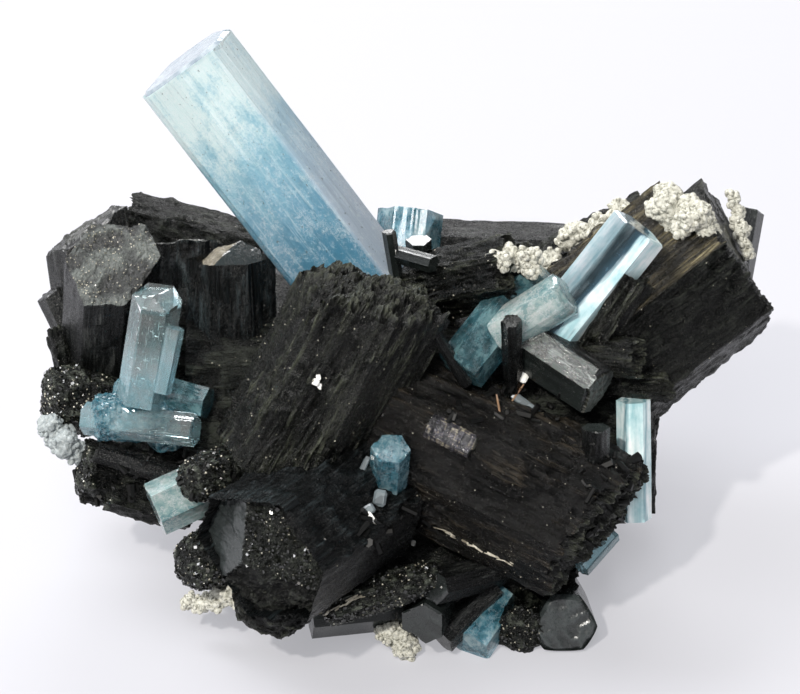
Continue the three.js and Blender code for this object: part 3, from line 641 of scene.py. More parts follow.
def prism_mesh(name, crystal, length, pitch):
    """A six-sided prism on its own axis, its faces and its end cut into a fine grid, in mm."""
    bm = bmesh.new()
    bmesh.ops.create_circle(bm, cap_ends=True, segments=6, radius=1)
    corners = section_corners(crystal["across"], crystal["habit"], crystal.get("roll", 0))
    for vert, corner in zip(bm.verts, corners):
        vert.co = (*corner, 0)
    risen = bmesh.ops.extrude_face_region(bm, geom=bm.faces[:])["geom"]
    top = [part for part in risen if isinstance(part, bmesh.types.BMFace)]
    bmesh.ops.translate(bm, verts=top[0].verts[:], vec=(0, 0, length))
    for face in top:
        face.material_index = 1
    bmesh.ops.poke(bm, faces=top)
    bmesh.ops.recalc_face_normals(bm, faces=bm.faces[:])
    level = [edge for edge in bm.edges if climb(edge) < length / 2]
    around = max(1, round(crystal["across"] * FACE_SHARE / pitch) - 1)
    bmesh.ops.subdivide_edges(bm, edges=level, cuts=around, use_grid_fill=True)
    upright = [edge for edge in bm.edges if climb(edge) > length / 2]
    along = max(1, round(length / (LENGTHWISE * pitch)) - 1)
    bmesh.ops.subdivide_edges(bm, edges=upright, cuts=along, use_grid_fill=True)
    mesh = bpy.data.meshes.new(name)
    bm.to_mesh(mesh)
    bm.free()
    return mesh


def climb(edge):
    """How far an edge rises from one end to the other."""
    return abs(edge.verts[0].co.z - edge.verts[1].co.z)


def read_points(mesh):
    """The mesh's vertices as an array."""
    points = np.empty(len(mesh.vertices) * 3)
    mesh.vertices.foreach_get("co", points)
    return points.reshape(-1, 3)


def crest(share):
    """Turns smooth noise into sharp crests with wide valleys, from 0 to 1."""
    return 1 - np.abs(2 * share - 1)


def ribs(face, u, z, layers, seed):
    """How far the ribs of a prism face stand out, in mm: wavy ones, and ledges that break off."""
    stand = np.zeros(len(u))
    for i, (width, run, depth, ledged) in enumerate(layers):
        sway = cloud(np.stack([face * 7.0, u / (3 * width), z / run], axis=1), 1.0, seed + i)
        across = u / width + 1.2 * sway
        spot = np.stack([across + 17.0 * face, z / run + 0.8 * sway, 5.0 * face], axis=1)
        wavy = crest(cloud(spot, 0.8, seed + i))
        rib = np.floor(across)
        step = np.floor(z / (0.7 * run) + 7.3 * dice(rib, face, seed + i))
        ledge = dice(rib, step, face, seed + i)
        stand += depth * ((1 - ledged) * (wavy - 0.7) + ledged * (ledge - 0.8))
    return stand


def tips(flat, layers, seed):
    """How far the tips on a prism end stand up, in mm: wormy ones, and flat-topped columns."""
    lift = np.zeros(len(flat))
    for i, (size, depth, flat_topped) in enumerate(layers):
        sway = np.stack([cloud(np.c_[flat / (1.5 * size), np.full(len(flat), k)], 1.0, seed + i)
                         for k in (0.5, 7.5)], axis=1)
        warped = flat / size + 1.5 * sway
        worm = np.sin(math.pi * cloud(np.c_[warped, np.full(len(flat), 3.5)], 0.7, seed + i + 20)) ** 3
        column = columns(warped, 1.0, seed + 3 * i)
        lift += depth * ((1 - flat_topped) * (worm - 0.6) + flat_topped * (column - 0.5))
    return lift


def face_kinds(crystal):
    """How each of the six sides of a crystal grew."""
    odd = crystal.get("odd_sides", {})
    return [odd.get(face, crystal["sides"]) for face in range(6)]


def end_kinds(crystal):
    """How each facet of a crystal's end grew; a plain end is one facet."""
    return crystal["facets"]["ends"] if "facets" in crystal else (crystal["end"],)


def face_reaches(crystal, flat):
    """How far spots of a cross-section lie towards each of the six faces, 1 on the face."""
    turns = np.arange(6) * SIXTH + crystal.get("roll", 0)
    normals = np.stack([np.cos(turns), np.sin(turns)], axis=1)
    half = np.array(crystal["habit"]) * crystal["across"] / 2
    return flat @ normals.T / half, normals


def facet_drop(crystal, flat):
    """How far each spot of an end of sloping facets lies below its peak, and whose facet it is."""
    facets = crystal["facets"]
    turns = np.radians(facets["turns"])
    ways = np.stack([np.cos(turns), np.sin(turns)], axis=1) * np.array(facets["slopes"])[:, None]
    drops = (flat - np.array(facets["peak"])) @ ways.T
    return drops.max(axis=1), drops.argmax(axis=1)


def deepest(layers, column):
    """The summed depth of some layers of relief, in mm."""
    return sum(layer[column] for layer in layers) + TINY


def rib_strength(crystal, points, seed):
    """How strong the ribs are at each spot: they fade in patches, and round a calm spot."""
    strength = 0.35 + 1.3 * cloud(points, 0.4 * crystal["across"] + 1.5, seed)
    if "calm" in crystal:
        middle, size = crystal["calm"]
        gap = np.linalg.norm(crystal["to_display"](points) - np.array(middle), axis=1)
        strength = strength * np.clip((gap / size - 0.55) / 0.45, 0.08, 1)
    return strength


def side_relief(crystal, points, face, u, seed):
    """How far the faces stand out at each spot, in mm, and how deep the relief of each face is."""
    kinds = face_kinds(crystal)
    stand = np.zeros(len(points))
    depth = np.ones(len(points))
    for kind in dict.fromkeys(kinds):
        layers = [layer for layer in SIDES[kind] if layer[0] > FINEST_RIB * crystal["pitch"]]
        here = np.isin(face, [k for k in range(6) if kinds[k] == kind])
        stand[here] = ribs(face[here].astype(float), u[here], points[here, 2], layers, seed)
        depth[here] = deepest(layers, 2)
    crinkle = np.array([CRINKLE.get(kind, 0) for kind in kinds])[face]
    if crinkle.any():
        squeezed = points * [1, 1, 0.55]
        spread = np.clip(3.2 * cloud(points, 4.0, seed + 2) - 1.3, 0, 1)
        fold = crest(cloud(squeezed, 1.0, seed + 3)) + 0.5 * crest(cloud(squeezed, 0.45, seed + 4)) - 0.95
        stand += crinkle * spread * fold
    return stand * rib_strength(crystal, points, seed), depth


def end_relief(crystal, flat, on_end, reach, seed):
    """How far each spot of the end stands up, in mm, and how much of that its bumps are."""
    bumps = np.zeros(len(flat))
    if "facets" not in crystal:
        bumps[on_end] = tips(flat[on_end], ENDS[crystal["end"]], seed)
        return bumps + crystal.get("rise", 0) * (1 - reach), bumps
    drop, facet = facet_drop(crystal, flat)
    for k, kind in enumerate(end_kinds(crystal)):
        here = on_end & (facet == k)
        bumps[here] = tips(flat[here], ENDS[kind], seed + k)
    return bumps - drop, bumps


def rim_loss(crystal, points, reach, seed):
    """How much of the end's rim is bevelled and broken away, in mm."""
    loss = 0
    bevel = crystal.get("bevel", 0)
    if bevel:
        start = 1 - 2 * bevel / crystal["across"]
        loss = bevel * np.clip((reach - start) / (1 - start), 0, 1)
    broken = np.clip(cloud(points, 1.6, seed + 5) * 2 - 0.9, 0, 1)
    return loss + crystal.get("wear", 0.5) * np.clip((reach - 0.9) / 0.1, 0, 1) * broken


def sugared(crystal, points, moved, seed):
    """Draws a crystal towards an egg, by its softness, and roughens it; also returns the roughness."""
    across = crystal["across"]
    middle = np.array([0, 0, crystal["length"] / 2])
    size = np.array([across, across, crystal["length"]]) * 0.56
    ray = (moved - middle) / size
    ball = ray / np.maximum(np.linalg.norm(ray, axis=1), TINY)[:, None]
    rough = cloud(points, 0.9, seed + 8) + 0.6 * cloud(points, 0.45, seed + 9) - 0.8
    moved = moved + crystal["soft"] * (ball * size + middle - moved)
    return moved + ball * (0.35 * rough)[:, None], rough


def grown(crystal, points, seed):
    """Gives a plain prism its ribs, its columned end, its slope and its softened edges.

    Also returns the relief: 0 in the grooves and 1 on the crests.
    """
    flat = points[:, :2]
    reaches, normals = face_reaches(crystal, flat)
    face = reaches.argmax(axis=1)
    reach = np.maximum(reaches.max(axis=1), TINY)
    tangents = np.stack([-normals[:, 1], normals[:, 0]], axis=1)
    u = (flat * tangents[face]).sum(axis=1) / reach
    on_end = points[:, 2] > crystal["length"] - HIGHEST
    stand, depth = side_relief(crystal, points, face, u, seed)
    lift, bumps = end_relief(crystal, flat, on_end, reach, seed)
    lift = lift - rim_loss(crystal, points, reach, seed)
    radius = np.maximum(np.linalg.norm(flat, axis=1), TINY)
    weight = np.where(on_end, reach ** 3, 1.0)
    moved = points.copy()
    moved[:, :2] += flat / radius[:, None] * (stand * weight)[:, None]
    if "rounded" in crystal:
        sharp = np.sort(reaches, axis=1)[:, -2] / reach
        moved[:, :2] *= (1 - crystal["rounded"] * np.clip(sharp - 0.55, 0, 1) ** 2)[:, None]
    moved[:, 2] += np.where(on_end, lift, 0)
    moved[:, 2] += flat @ crystal["slope"] * points[:, 2] / crystal["length"]
    relief = np.where(on_end, bumps / deepest(ENDS[crystal["end"]], 1), stand / depth)
    if "soft" in crystal:
        moved, rough = sugared(crystal, points, moved, seed)
        relief = relief + rough
    return moved, np.clip(0.5 + relief, 0, 1)


def dress(mesh, crystal, side_looks, end_looks):
    """Gives each side and each end facet of a plain prism its look."""
    looks = list(dict.fromkeys(side_looks + end_looks))
    slots = np.array([looks.index(look) for look in side_looks + end_looks])
    for look in looks:
        mesh.materials.append(look)
    count = len(mesh.polygons)
    on_end = np.empty(count, int)
    mesh.polygons.foreach_get("material_index", on_end)
    middles = np.empty(count * 3)
    mesh.polygons.foreach_get("center", middles)
    flat = middles.reshape(-1, 3)[:, :2]
    side = face_reaches(crystal, flat)[0].argmax(axis=1)
    facet = facet_drop(crystal, flat)[1] if "facets" in crystal else 0
    mesh.polygons.foreach_set("material_index", slots[np.where(on_end == 1, 6 + facet, side)])


def crystal_object(name, crystal, side_looks, end_looks, seed, pitch):
    """A finished crystal in its place, with a growth attribute: its own mm, shifted by chance."""
    foot, front, side, axis, length, slope = crystal_axes(crystal)
    basis = np.array([front, side, axis])
    crystal = dict({"pitch": pitch}, **crystal, length=length, slope=slope,
                   to_display=lambda points: points @ basis + np.array(foot))
    mesh = prism_mesh(name, crystal, length, crystal["pitch"])
    points = read_points(mesh)
    shaped, relief = grown(crystal, points, seed)
    mesh.attributes.new("relief", "FLOAT", "POINT").data.foreach_set("value", relief)
    growth = mesh.attributes.new("growth", "FLOAT_VECTOR", "POINT")
    chance = np.array([31.7, 17.3, 0.0]) * (seed % 97) * crystal.get("shift_growth", 1)
    growth.data.foreach_set("vector", (points + chance).ravel())
    dress(mesh, crystal, side_looks, end_looks)
    mesh.vertices.foreach_set("co", to_row(crystal["to_display"](shaped)).ravel())
    mesh.update()
    return trimmed(placed(name, mesh))


def placed(name, mesh):
    """A new object in the scene, with its place in its mesh."""
    made = bpy.data.objects.new(name, mesh)
    bpy.context.scene.collection.objects.link(made)
    return made


def to_row(display):
    """Display-frame mm to row-frame metres, for an array of points."""
    turn = np.array(DISPLAY_TO_ROW)
    return display @ turn[:3, :3].T + turn[:3, 3]


def trimmed(made):
    """Cuts off what would sink into the table and closes the cut."""
    if read_points(made.data)[:, 2].min() >= 0:
        return made
    bm = bmesh.new()
    bm.from_mesh(made.data)
    everything = bm.verts[:] + bm.edges[:] + bm.faces[:]
    bmesh.ops.bisect_plane(bm, geom=everything, dist=1e-7, plane_co=(0, 0, 0), plane_no=(0, 0, 1),
                           clear_inner=True)
    rims = [edge for edge in bm.edges if edge.is_boundary]
    bmesh.ops.holes_fill(bm, edges=rims, sides=0)
    bmesh.ops.recalc_face_normals(bm, faces=bm.faces[:])
    bm.to_mesh(made.data)
    bm.free()
    return made


def join(name, parts):
    """Joins objects into one named piece that sits at the origin."""
    with bpy.context.temp_override(active_object=parts[0], object=parts[0],
                                   selected_objects=parts, selected_editable_objects=parts):
        bpy.ops.object.join()
    parts[0].name = name
    parts[0].data.name = name
    return parts[0]


def settle(piece, slot, *nodes):
    """Seats a finished piece on the part and hides the nodes that it stands for; the slot is not used."""
    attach(piece, "root")
    if nodes:
        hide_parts(*nodes)


# ---------------------------------------------------------------- small shapes in their hundreds
SAME_PLACE = 0.001  # spots nearer than this, in mm, count as one when corners are put in order


def repeat_shape(name, shape, places, turns, sizes, look):
    """One mesh of many copies of a small shape, each with its own place, turn and size, in metres."""
    template = read_points(shape)
    faces = np.array([face.vertices[:] for face in shape.polygons])
    points = np.einsum("nij,nvj->nvi", turns, template[None] * sizes[:, None, :]) + places[:, None, :]
    copies = len(places)
    corners = (faces[None] + (np.arange(copies) * len(template))[:, None, None]).reshape(-1, faces.shape[1])
    mesh = bpy.data.meshes.new(name)
    mesh.from_pydata(points.reshape(-1, 3), [], corners)
    mesh.materials.append(look)
    return placed(name, mesh)


def small_shape(kind):
    """A unit grain: a cube, a chip with broken corners, a six-sided prism or a round spindle along z."""
    bm = bmesh.new()
    if kind == "cube":
        bmesh.ops.create_cube(bm, size=1)
    elif kind == "chip":
        bmesh.ops.create_cube(bm, size=1)
        bmesh.ops.bevel(bm, geom=bm.edges[:], offset=0.18, segments=1, affect="EDGES")
    elif kind == "prism":
        bmesh.ops.create_cone(bm, cap_ends=True, segments=6, radius1=0.5, radius2=0.5, depth=1)
    else:
        bmesh.ops.create_icosphere(bm, subdivisions=1, radius=0.5)
    bmesh.ops.triangulate(bm, faces=bm.faces[:])
    mesh = bpy.data.meshes.new(kind)
    bm.to_mesh(mesh)
    bm.free()
    return mesh


def random_turns(rng, count):
    """Random rotation matrices."""
    spins = rng.normal(size=(count, 4))
    w, x, y, z = (spins / np.linalg.norm(spins, axis=1)[:, None]).T
    rows = [[1 - 2 * (y * y + z * z), 2 * (x * y - z * w), 2 * (x * z + y * w)],
            [2 * (x * y + z * w), 1 - 2 * (x * x + z * z), 2 * (y * z - x * w)],
            [2 * (x * z - y * w), 2 * (y * z + x * w), 1 - 2 * (x * x + y * y)]]
    return np.array(rows).transpose(2, 0, 1)


def aimed_turns(ways, rng):
    """Rotation matrices that take z to each way, spun about it by chance."""
    chance = rng.normal(size=ways.shape)
    u = np.cross(chance, ways)
    u /= np.linalg.norm(u, axis=1)[:, None]
    return np.stack([u, np.cross(ways, u), ways], axis=2)


def worn_triangles(mesh, look):
    """The corners of the triangles that wear a look, in an order that only their places decide.

    Blender's own order of vertices and faces changes from run to run, and grains are dealt out by it.
    """
    points = read_points(mesh)
    ranks = np.empty(len(points), int)
    ranks[np.lexsort(np.round(points / (SAME_PLACE * MM)).T[::-1])] = np.arange(len(points))
    mesh.calc_loop_triangles()
    count = len(mesh.loop_triangles)
    corners = np.empty(count * 3, int)
    slots = np.empty(count, int)
    mesh.loop_triangles.foreach_get("vertices", corners)
    mesh.loop_triangles.foreach_get("material_index", slots)
    worn = [slot for slot, material in enumerate(mesh.materials) if material == look]
    corners = corners.reshape(-1, 3)[np.isin(slots, worn)]
    first = ranks[corners].argmin(axis=1)[:, None]
    corners = np.take_along_axis(corners, (np.arange(3) + first) % 3, axis=1)
    return points[corners[np.lexsort(ranks[corners].T[::-1])]].transpose(1, 0, 2)


def surface_spots(made, look, per_square_mm, rng):
    """Random spots on the faces of an object that wear a look."""
    a, b, c = worn_triangles(made.data, look)
    area = np.linalg.norm(np.cross(b - a, c - a), axis=1) / 2
    picks = rng.choice(len(area), int(area.sum() / MM ** 2 * per_square_mm), p=area / area.sum())
    s, t = rng.random((2, len(picks)))
    flip = s + t > 1
    s, t = np.where(flip, 1 - s, s), np.where(flip, 1 - t, t)
    return a[picks] + s[:, None] * (b - a)[picks] + t[:, None] * (c - a)[picks]


def sprinkle(name, pieces, look, per_square_mm, sizes, material, rng):
    """Grains over every face of the pieces that wears a look, and none that would reach the table."""
    places = np.concatenate([surface_spots(piece, look, per_square_mm, rng) for piece in pieces
                             if look in piece.data.materials[:]])
    places = places[places[:, 2] > sizes[1] * MM]
    size = rng.uniform(*sizes, (len(places), 1)) * rng.uniform(0.6, 1.4, (len(places), 3)) * MM
    return repeat_shape(name, small_shape("cube"), places, random_turns(rng, len(places)), size, material)


# ---------------------------------------------------------------- the black crystals and their grains
SCHORL_PITCH = 0.27  # the step of a crystal's grid, in mm
BERYL_PITCH = 0.3

seed = 11
schorl_pieces = []
for piece_name, crystals in SCHORL_PIECES.items():
    parts = []
    for crystal in crystals:
        seed += 1
        kinds = [crystal.get("side_look", kind) for kind in face_kinds(crystal)]
        parts.append(crystal_object(piece_name, crystal, [SCHORL_LOOKS[kind] for kind in kinds],
                                    [SCHORL_LOOKS[kind] for kind in end_kinds(crystal)], seed,
                                    SCHORL_PITCH))
    schorl_pieces.append(join(piece_name, parts))
    settle(schorl_pieces[-1], "schorl", "schorl_cluster")

# Grains: name, the look they sit on, how many on a square mm, how large from and to in mm, of what, and a
# slot.
SPRINKLES = [
    ("schorl_grains", "granular", 2.5, (0.14, 0.38), "schorl", "schorl"),
    # pale grains that are mica dust and also painted glints on the black crystals
    ("mica_and_painted_glints_on_ends", "granular", 0.6, (0.08, 0.2), "mica_and_painted_glints", "crust"),
    ("mica_and_painted_glints_on_bark", "bark", 0.05, (0.05, 0.16), "mica_and_painted_glints", "crust"),
    ("mica_and_painted_glints_on_ribs", "ribbed", 0.09, (0.06, 0.16), "mica_and_painted_glints", "crust"),
    ("mica_and_painted_glints_on_umber", "umber", 0.13, (0.04, 0.12), "mica_and_painted_glints", "crust"),
    ("mica_and_painted_glints_on_frost", "frosted", 2.2, (0.05, 0.16), "mica_and_painted_glints", "crust"),
]
rng = np.random.default_rng(7)
for grains_name, look, per_square_mm, sizes, kind, slot in SPRINKLES:
    settle(sprinkle(grains_name, schorl_pieces, SCHORL_LOOKS[look], per_square_mm, sizes,
                    GRAIN_LOOKS[kind], rng), slot)

# ---------------------------------------------------------------- shards and chips in the gaps
IN_FRONT = 60.0  # how far out of the display frame, in mm, a look at the specimen starts
TOWARDS_VIEWER = (TURN_TO_ROW @ Vector((0, 0, 1))).normalized()

# Beds of small schorl shards, in display-frame mm: x from and to, y from and to, count.
SHARD_BEDS = [
    (-6, 4, -26, -20, 24),
    (23, 32, -30, -13, 40),
    (6, 21, -10, -5, 26),
    (-45, -27, -24, -12, 36),
]
DRAWN_OUT = 0.25  # how strongly a shard is drawn off the surface that it lies on
DRAWN_FORWARD = 0.1  # and towards the viewer, against chance


def land(carriers, across, up):
    """Where a look at (across, up) from the display side meets the carriers, and the way out there."""
    start = DISPLAY_TO_ROW @ Vector((across, up, IN_FRONT))
    hits = [piece.ray_cast(start, -TOWARDS_VIEWER)[:3] for piece in carriers]
    hits = [((spot - start).length, tuple(spot), tuple(normal)) for found, spot, normal in hits if found]
    return min(hits)[1:] if hits else None


def shards_in(beds, carriers, rng):
    """Small black prisms that lie about at all angles, mostly pointing out."""
    places = []
    ways = []
    for left, right, low, high, count in beds:
        for across, up in rng.uniform((left, low), (right, high), (count, 2)):
            landed = land(carriers, across, up)
            if landed:
                places.append(landed[0])
                ways.append(DRAWN_OUT * np.array(landed[1]) + DRAWN_FORWARD * np.array(TOWARDS_VIEWER)
                            + rng.normal(size=3))
    ways = np.array(ways)
    ways /= np.linalg.norm(ways, axis=1)[:, None]
    thick = 0.4 + 1.0 * rng.random((len(ways), 1)) ** 2
    sizes = np.hstack([thick, thick * 0.8, thick * rng.uniform(1.2, 2.6, (len(ways), 1))]) * MM
    return repeat_shape("schorl_shards", small_shape("prism"), np.array(places), aimed_turns(ways, rng),
                        sizes, GRAIN_LOOKS["shard"])


settle(shards_in(SHARD_BEDS, schorl_pieces, rng), "schorl")

# Chips: where in the display frame, how wide, long and thick, in mm, how far the long way is turned
# from up, in degrees, and of what.
CHIPS = [
    (-10.9, -4.5, 1.0, 0.9, 0.8, 20, "white"),
    (-10.3, -5.1, 0.8, 0.7, 0.7, 50, "white"),
    (-10.5, -3.9, 0.6, 0.8, 0.6, -10, "white"),
    (-32.0, -12.7, 0.8, 2.0, 0.6, -55, "cream"),
    (13.1, -8.4, 0.28, 4.4, 0.28, -10, "brown"),
    (15.4, -6.4, 0.25, 3.6, 0.25, 35, "brown"),
    (16.7, -7.6, 1.1, 5.2, 0.7, -53, "slate"),
    (16.2, -4.0, 1.5, 1.3, 0.8, 30, "white"),
    (-3.6, -22.2, 0.7, 2.1, 0.4, -35, "white"),
    (-4.8, -15.7, 0.8, 3.2, 0.8, 25, "slate"),
    (-2.6, -19.6, 1.7, 2.2, 1.6, 10, "slate"),
    (-4.0, -21.0, 1.3, 1.5, 1.2, 60, "slate"),
    (1.8, -26.4, 0.6, 0.8, 0.5, 15, "white"),
]
# Broken edges with painted glints, pale splinters laid along them: from and to, in display-frame mm, and how
# many splinters.
PAINTED_GLINT_EDGES = [((4.8, -23.9), (14.6, -28.6), 18), ((-12.0, -35.9), (-5.2, -32.4), 18)]
SPLINTER_THICK = 0.4
OFF_LINE = 0.12  # how far, in mm, a splinter may stray from its edge
OFF_TURN = 12  # and how far it may turn from it, in degrees


def splinters(start, end, count, rng):
    """Pale splinters along an edge, as chips: painted glints."""
    turned = 90 - math.degrees(math.atan2(end[1] - start[1], end[0] - start[0]))
    for share in rng.random(count):
        across, up = (a + (b - a) * share + rng.normal(0, OFF_LINE) for a, b in zip(start, end))
        yield (across, up, rng.uniform(0.12, 0.32), rng.uniform(0.5, 2.2), SPLINTER_THICK,
               turned + rng.normal(0, OFF_TURN), "painted_highlight")


def chip_parts(chips, carriers):
    """The chips that land on the carriers, each turned to face the viewer."""
    for across, up, wide, long, thick, turned, kind in chips:
        landed = land(carriers, across, up)
        if landed:
            turn = TURN_TO_ROW @ Matrix.Rotation(math.radians(-turned), 3, "Z")
            yield repeat_shape("chips", small_shape("chip"), np.array([landed[0]]), np.array(turn)[None],
                               np.array([[wide, long, thick]]) * MM, GRAIN_LOOKS[kind])


all_chips = CHIPS + [chip for edge in PAINTED_GLINT_EDGES for chip in splinters(*edge, rng)]
settle(join("loose_chips", list(chip_parts(all_chips, schorl_pieces))), "crust")

# ---------------------------------------------------------------- the aquamarines
AQUAMARINE_PIECES = {
    "aquamarine_main": [
        beryl((-4.8, 7.4, -4), (-28.7, 38.2, 6.8), 13.6, "fluted", habit=TABULAR, roll=math.radians(-12),
              bevel=0.7, rounded=0.25, look="main", end_look="cap", wear=0.5, shift_growth=0, veils=500),
    ],
    "aquamarine_left_group": [
        beryl((-34.5, -7.5, 6), (-32, 6.9, 9.5), 5.8, "smooth", facing=(0.1, 0.8, 0.6), wear=0, look="pale",
              veils=90, facets={"peak": (0.4, -0.6), "turns": (0, 90, 200), "slopes": (0.35, 0.3, 0.3),
                                "ends": ("smooth", "smooth", "smooth")}),
        beryl((-31.5, -6, 9), (-29.6, 2.5, 11), 2.2, "smooth", wear=0, look="pale"),
        beryl((-35, -5, 4), (-25.5, -7.5, 7), 4, look="teal", roll=math.radians(25), veils=30),
        beryl((-42, -9.5, 5), (-27, -11, 9.5), 3.9, look="pale", veils=40),
        beryl((-30, -9, 4), (-41, -9.5, 6), 6, "granular", "granular", soft=0.4, look="blue"),
        beryl((-35, -12, 3), (-35, -4, 5.5), 6, "granular", "granular", soft=0.5, look="blue"),
        beryl((-31, -13.5, 2), (-32.5, -7, 5), 5, "granular", "granular", soft=0.5, look="blue"),
    ],
    "aquamarine_lower_left": [
        beryl((-23.2, -17.3, 6), (-32.6, -21.6, 7.5), 6.4, look="milky", veils=60),
    ],
    "aquamarine_centre": [beryl((-1.6, -18, 13), (-1.2, -13.1, 19), 4.5, look="blue", veils=60)],
    "aquamarine_right_slender": [
        beryl((31.5, -23, 3), (31, -7, 7), 4, look="slender", wear=0, shift_growth=0, veils=20),
    ],
    "aquamarine_right_group": [
        beryl((18.9, -0.5, 5.5), (31.7, 15.8, 10), 7, look="painted_bands", wear=0.1, bevel=0.3,
              shift_growth=0, veils=60),
        beryl((13, 1.6, 8.5), (22, 7.2, 11.8), 5.8, look="milky", bevel=0.6, rounded=0.4, veils=120),
        beryl((17, 8.2, 5.5), (7.9, -3.2, 9.4), 6.2, look="teal", veils=60),
        beryl((11.5, 2, 3), (19.5, 9.5, 6), 5, look="milky"),
    ],
    "aquamarine_under_right": [beryl((28.5, -25, 2), (24.2, -29.6, 4.5), 2.4, look="pale")],
    "aquamarine_back": [beryl((0.5, 10, -17), (1.5, 19, -18), 8, look="blue")],
    "aquamarine_foot": [beryl((14, -34, 0), (9.5, -40, 5), 5, look="blue")],
}


VEILED = (0.05, 0.94)  # the stretch of a crystal, as a share of its length, that has veils
FLECK_WIDE = (0.05, 0.16)
LONG_FLECKS = 0.45  # the share of flecks that are drawn out along the crystal
CRACK_THICK = 0.07


def veils_in(name, crystal, rng):
    """Milky flecks inside a clear crystal, long ones along its axis, and a few open cracks."""
    foot, front, side, axis, length, _ = crystal_axes(crystal)
    basis = np.array([front, side, axis])
    count = crystal["veils"]
    ring = rng.uniform(-1, 1, (count * 3, 2)) * crystal["across"] * 0.55
    ring = ring[face_reaches(crystal, ring)[0].max(axis=1) < 0.88][:count]
    heights = rng.uniform(*VEILED, (len(ring), 1)) * length
    local = np.hstack([ring, heights])
    wide = rng.uniform(*FLECK_WIDE, (len(ring), 1))
    stretch = np.where(rng.random((len(ring), 1)) < LONG_FLECKS, rng.uniform(4, 16, (len(ring), 1)), 1.6)
    sizes = np.hstack([wide, wide * 0.7, wide * stretch]) * MM
    turn = np.array(TURN_TO_ROW) @ basis.T
    flecks = repeat_shape(name, small_shape("spindle"), to_row(local @ basis + np.array(foot)),
                          np.repeat(turn[None], len(ring), axis=0), sizes, GRAIN_LOOKS["veil"])
    cracks = len(ring) // 8
    tilt = leaned(random_turns(rng, cracks), turn[:, 2])
    wide = rng.uniform(0.08, 0.2, (cracks, 1)) * crystal["across"]
    sizes = np.hstack([wide, wide * rng.uniform(0.4, 0.9, (cracks, 1)), np.full((cracks, 1), CRACK_THICK)])
    middle = local[:cracks] * [0.7, 0.7, 1]
    discs = repeat_shape(name, small_shape("spindle"), to_row(middle @ basis + np.array(foot)), tilt,
                         sizes * MM, GRAIN_LOOKS["crack"])
    return join(name, [flecks, discs])


def leaned(turns, axis):
    """Rotation matrices whose z is drawn towards an axis."""
    z = 0.4 * turns[:, :, 2] + axis
    z /= np.linalg.norm(z, axis=1)[:, None]
    x = np.cross(turns[:, :, 1], z)
    x /= np.linalg.norm(x, axis=1)[:, None]
    return np.stack([x, np.cross(z, x), z], axis=2)


for piece_name, crystals in AQUAMARINE_PIECES.items():
    parts = []
    veils = []
    for crystal in crystals:
        seed += 1
        look = BERYL_LOOKS[crystal["look"]]
        end_look = BERYL_LOOKS[crystal.get("end_look", crystal["look"])]
        parts.append(crystal_object(piece_name, crystal, [look] * 6, [end_look] * len(end_kinds(crystal)),
                                    seed, BERYL_PITCH))
        if "veils" in crystal:
            veils.append(veils_in(piece_name, crystal, rng))
    settle(join(piece_name + "_crystal", parts), "aquamarine", piece_name)
    if veils:
        settle(join(piece_name + "_veils", veils), "aquamarine")

# ---------------------------------------------------------------- crusts
# Where a crust starts and ends, in display-frame mm, its lumps, their radius and how far they stray.
CRUSTS = {
    "crust_right_top": ((34.2, 19.6, 1), (40, 16.6, 6.5), 18, 1.7, 3.2),
    "crust_right_edge": ((45.8, 20.6, -9), (47.6, 13, -7), 8, 0.8, 0.6),
    "crust_back": ((21.5, 13, -12), (33.5, 19.3, -10), 14, 1.4, 2.6),
    "crust_centre": ((12.5, 12, 10.5), (18, 11, 10.5), 11, 1.1, 2.4),
    "crust_bottom": ((-2, -38.5, 4), (1.5, -40, 5), 4, 1.7, 2.0),
    "crust_lower_left": ((-27.6, -34.2, 4.5), (-20.3, -32.2, 11.5), 6, 1.4, 0.9),
    "feldspar_left": ((-46.5, -11.5, 0), (-44, -14.5, 1), 5, 1.7, 1.8),
}
KNOBS_PER_LUMP = 13
KNOB_RADII = (0.25, 0.6)
# How far a ball is squashed towards the viewer, how rough it is in mm, and how often it is subdivided.
LUMP = (0.85, 1.0, 4)
KNOB = (1.0, 0.4, 2)
UNDERSIZE = 0.97  # a ball starts a little small, because it is mostly roughened outward
NOISE_STEP = 13.7  # how far, in mm, the noise of one ball is from the noise of the next


def ball(name, place, radius, shape, k, look):
    """A roughened ball in its place, in display-frame mm."""
    squash, roughness, fineness = shape
    bm = bmesh.new()
    bmesh.ops.create_icosphere(bm, subdivisions=fineness, radius=radius)
    mesh = bpy.data.meshes.new(name)
    bm.to_mesh(mesh)
    bm.free()
    points = read_points(mesh) * UNDERSIZE
    outward = points / radius
    shifted = points + NOISE_STEP * (k + 1)
    rough = 0.7 * (cloud(shifted, 1.3, 3) - 0.5) + 0.7 * (cloud(shifted, 0.6, 4) - 0.5)
    rough += 0.35 * (cloud(shifted, 0.3, 5) - 0.5)
    grown_out = points + outward * (roughness * np.minimum(rough, 0.3))[:, None]
    display = grown_out * [1, 1, squash] + np.array(place)
    growth = mesh.attributes.new("growth", "FLOAT_VECTOR", "POINT")
    growth.data.foreach_set("vector", shifted.ravel())
    mesh.vertices.foreach_set("co", to_row(display).ravel())
    mesh.materials.append(look)
    return trimmed(placed(name, mesh))


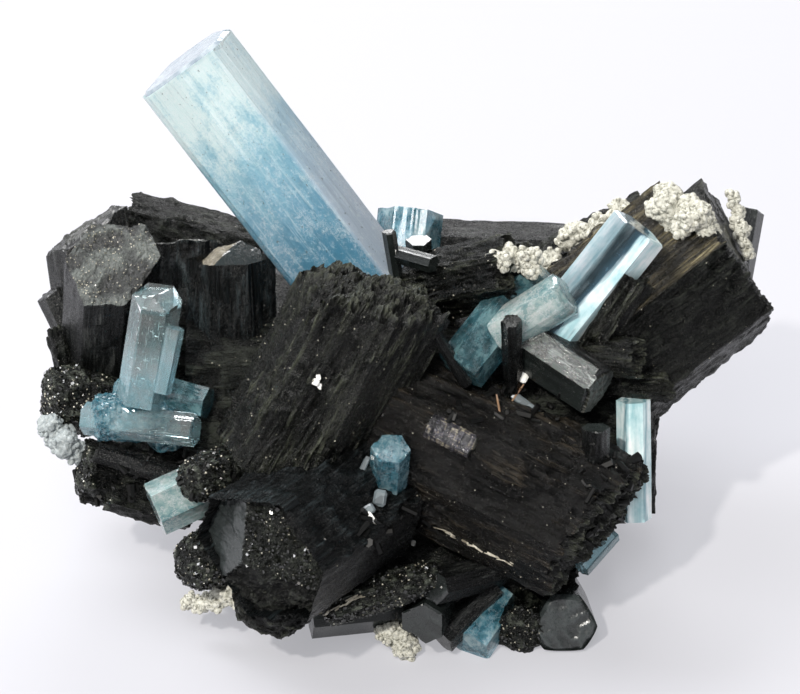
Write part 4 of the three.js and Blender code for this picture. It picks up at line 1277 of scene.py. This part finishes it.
def crust_parts(name, start, end, count, size, spread, look, rng):
    """A crust: a few large lumps under many small knobbly ones."""
    parts = []
    for k in range(count):
        radius = size * (1 + 0.4 * scatter(k, 1, count))
        aside = Vector([spread * scatter(k, axis, count) for axis in (2, 3, 4)])
        place = np.array(Vector(start).lerp(Vector(end), k / (count - 1)) + aside)
        parts.append(ball(name, place, radius, LUMP, k, look))
        for knob in range(KNOBS_PER_LUMP):
            ray = rng.normal(size=3)
            ray /= np.linalg.norm(ray)
            spot = place + ray * radius * rng.uniform(0.8, 1.1)
            parts.append(ball(name, spot, rng.uniform(*KNOB_RADII), KNOB, 50 * k + knob, look))
    return parts


for crust_name, (start, end, count, size, spread) in CRUSTS.items():
    look = CRUST_LOOKS["feldspar" if crust_name.startswith("feldspar") else "hyalite"]
    lumps = crust_parts(crust_name, start, end, count, size, spread, look, rng)
    settle(join(crust_name + "_lumps", lumps), "crust", crust_name)

# ---------------------------------------------------------------- floor, light and camera
FLOOR_SIDE = 4.0
bm = bmesh.new()
bmesh.ops.create_grid(bm, x_segments=1, y_segments=1, size=FLOOR_SIDE / 2)
floor_mesh = bpy.data.meshes.new("studio_floor")
bm.to_mesh(floor_mesh)
bm.free()
# matt white paper, lit so evenly that it seems to glow a little
floor_mesh.materials.append(new_material("white_paper", {
    "Base Color": "#8C8C90", "Roughness": 0.9, "Specular IOR Level": 0.2,
    "Emission Color": "#F0F0F6", "Emission Strength": 0.44,
})[0])
placed("studio_floor", floor_mesh)

# Square soft lights: where they hang and what they face, in metres, how wide, how bright in watts, and
# their colour.
MIDDLE = (0.0, 0.0, 0.035)
LIGHTS = {
    "softbox_ceiling": ((-0.2, 0.1, 0.9), MIDDLE, 0.5, 2.0, "#FFFFFF"),
    "softbox_behind": ((0.05, 0.7, 0.5), (0.0, 0.4, 0.0), 0.4, 6.0, "#FFFFFF"),
    "softbox_key": ((-0.33, 0.06, 0.42), MIDDLE, 0.26, 2.2, "#FBFCFF"),
    "softbox_front": ((-0.1, -0.8, 0.85), (0.0, -0.05, 0.02), 0.3, 3.8, "#FFFFFF"),
    "lamp_front": ((-0.25, -0.6, 0.6), MIDDLE, 0.03, 6.5, "#FFFAF2"),
}
for light_name, (place, aim, size, watts, colour) in LIGHTS.items():
    lamp = bpy.data.lights.new(light_name, "AREA")
    lamp.shape = "SQUARE"
    lamp.size = size
    lamp.energy = watts
    lamp.color = linear(colour)[:3]
    light = placed(light_name, lamp)
    light.location = place
    light.rotation_euler = (Vector(aim) - Vector(place)).to_track_quat("-Z", "Y").to_euler()

world = bpy.data.worlds.new("soft_room")
world.use_nodes = True
feed(world.node_tree, world.node_tree.nodes["Background"], {"Color": "#F2F3F8", "Strength": 0.32})
scene = bpy.context.scene
scene.world = world
scene.view_settings.view_transform = "Standard"

VIEW_FROM = 450  # how far in front of the display frame the camera stands, in mm
lens = bpy.data.cameras.new("camera")
lens.lens = 150
lens.sensor_width = 36
lens.clip_start = 0.01
camera = placed("camera", lens)
camera.location = DISPLAY_TO_ROW @ Vector((0, 0, VIEW_FROM))
camera.rotation_euler = (LEAN, 0, 0)
scene.camera = camera
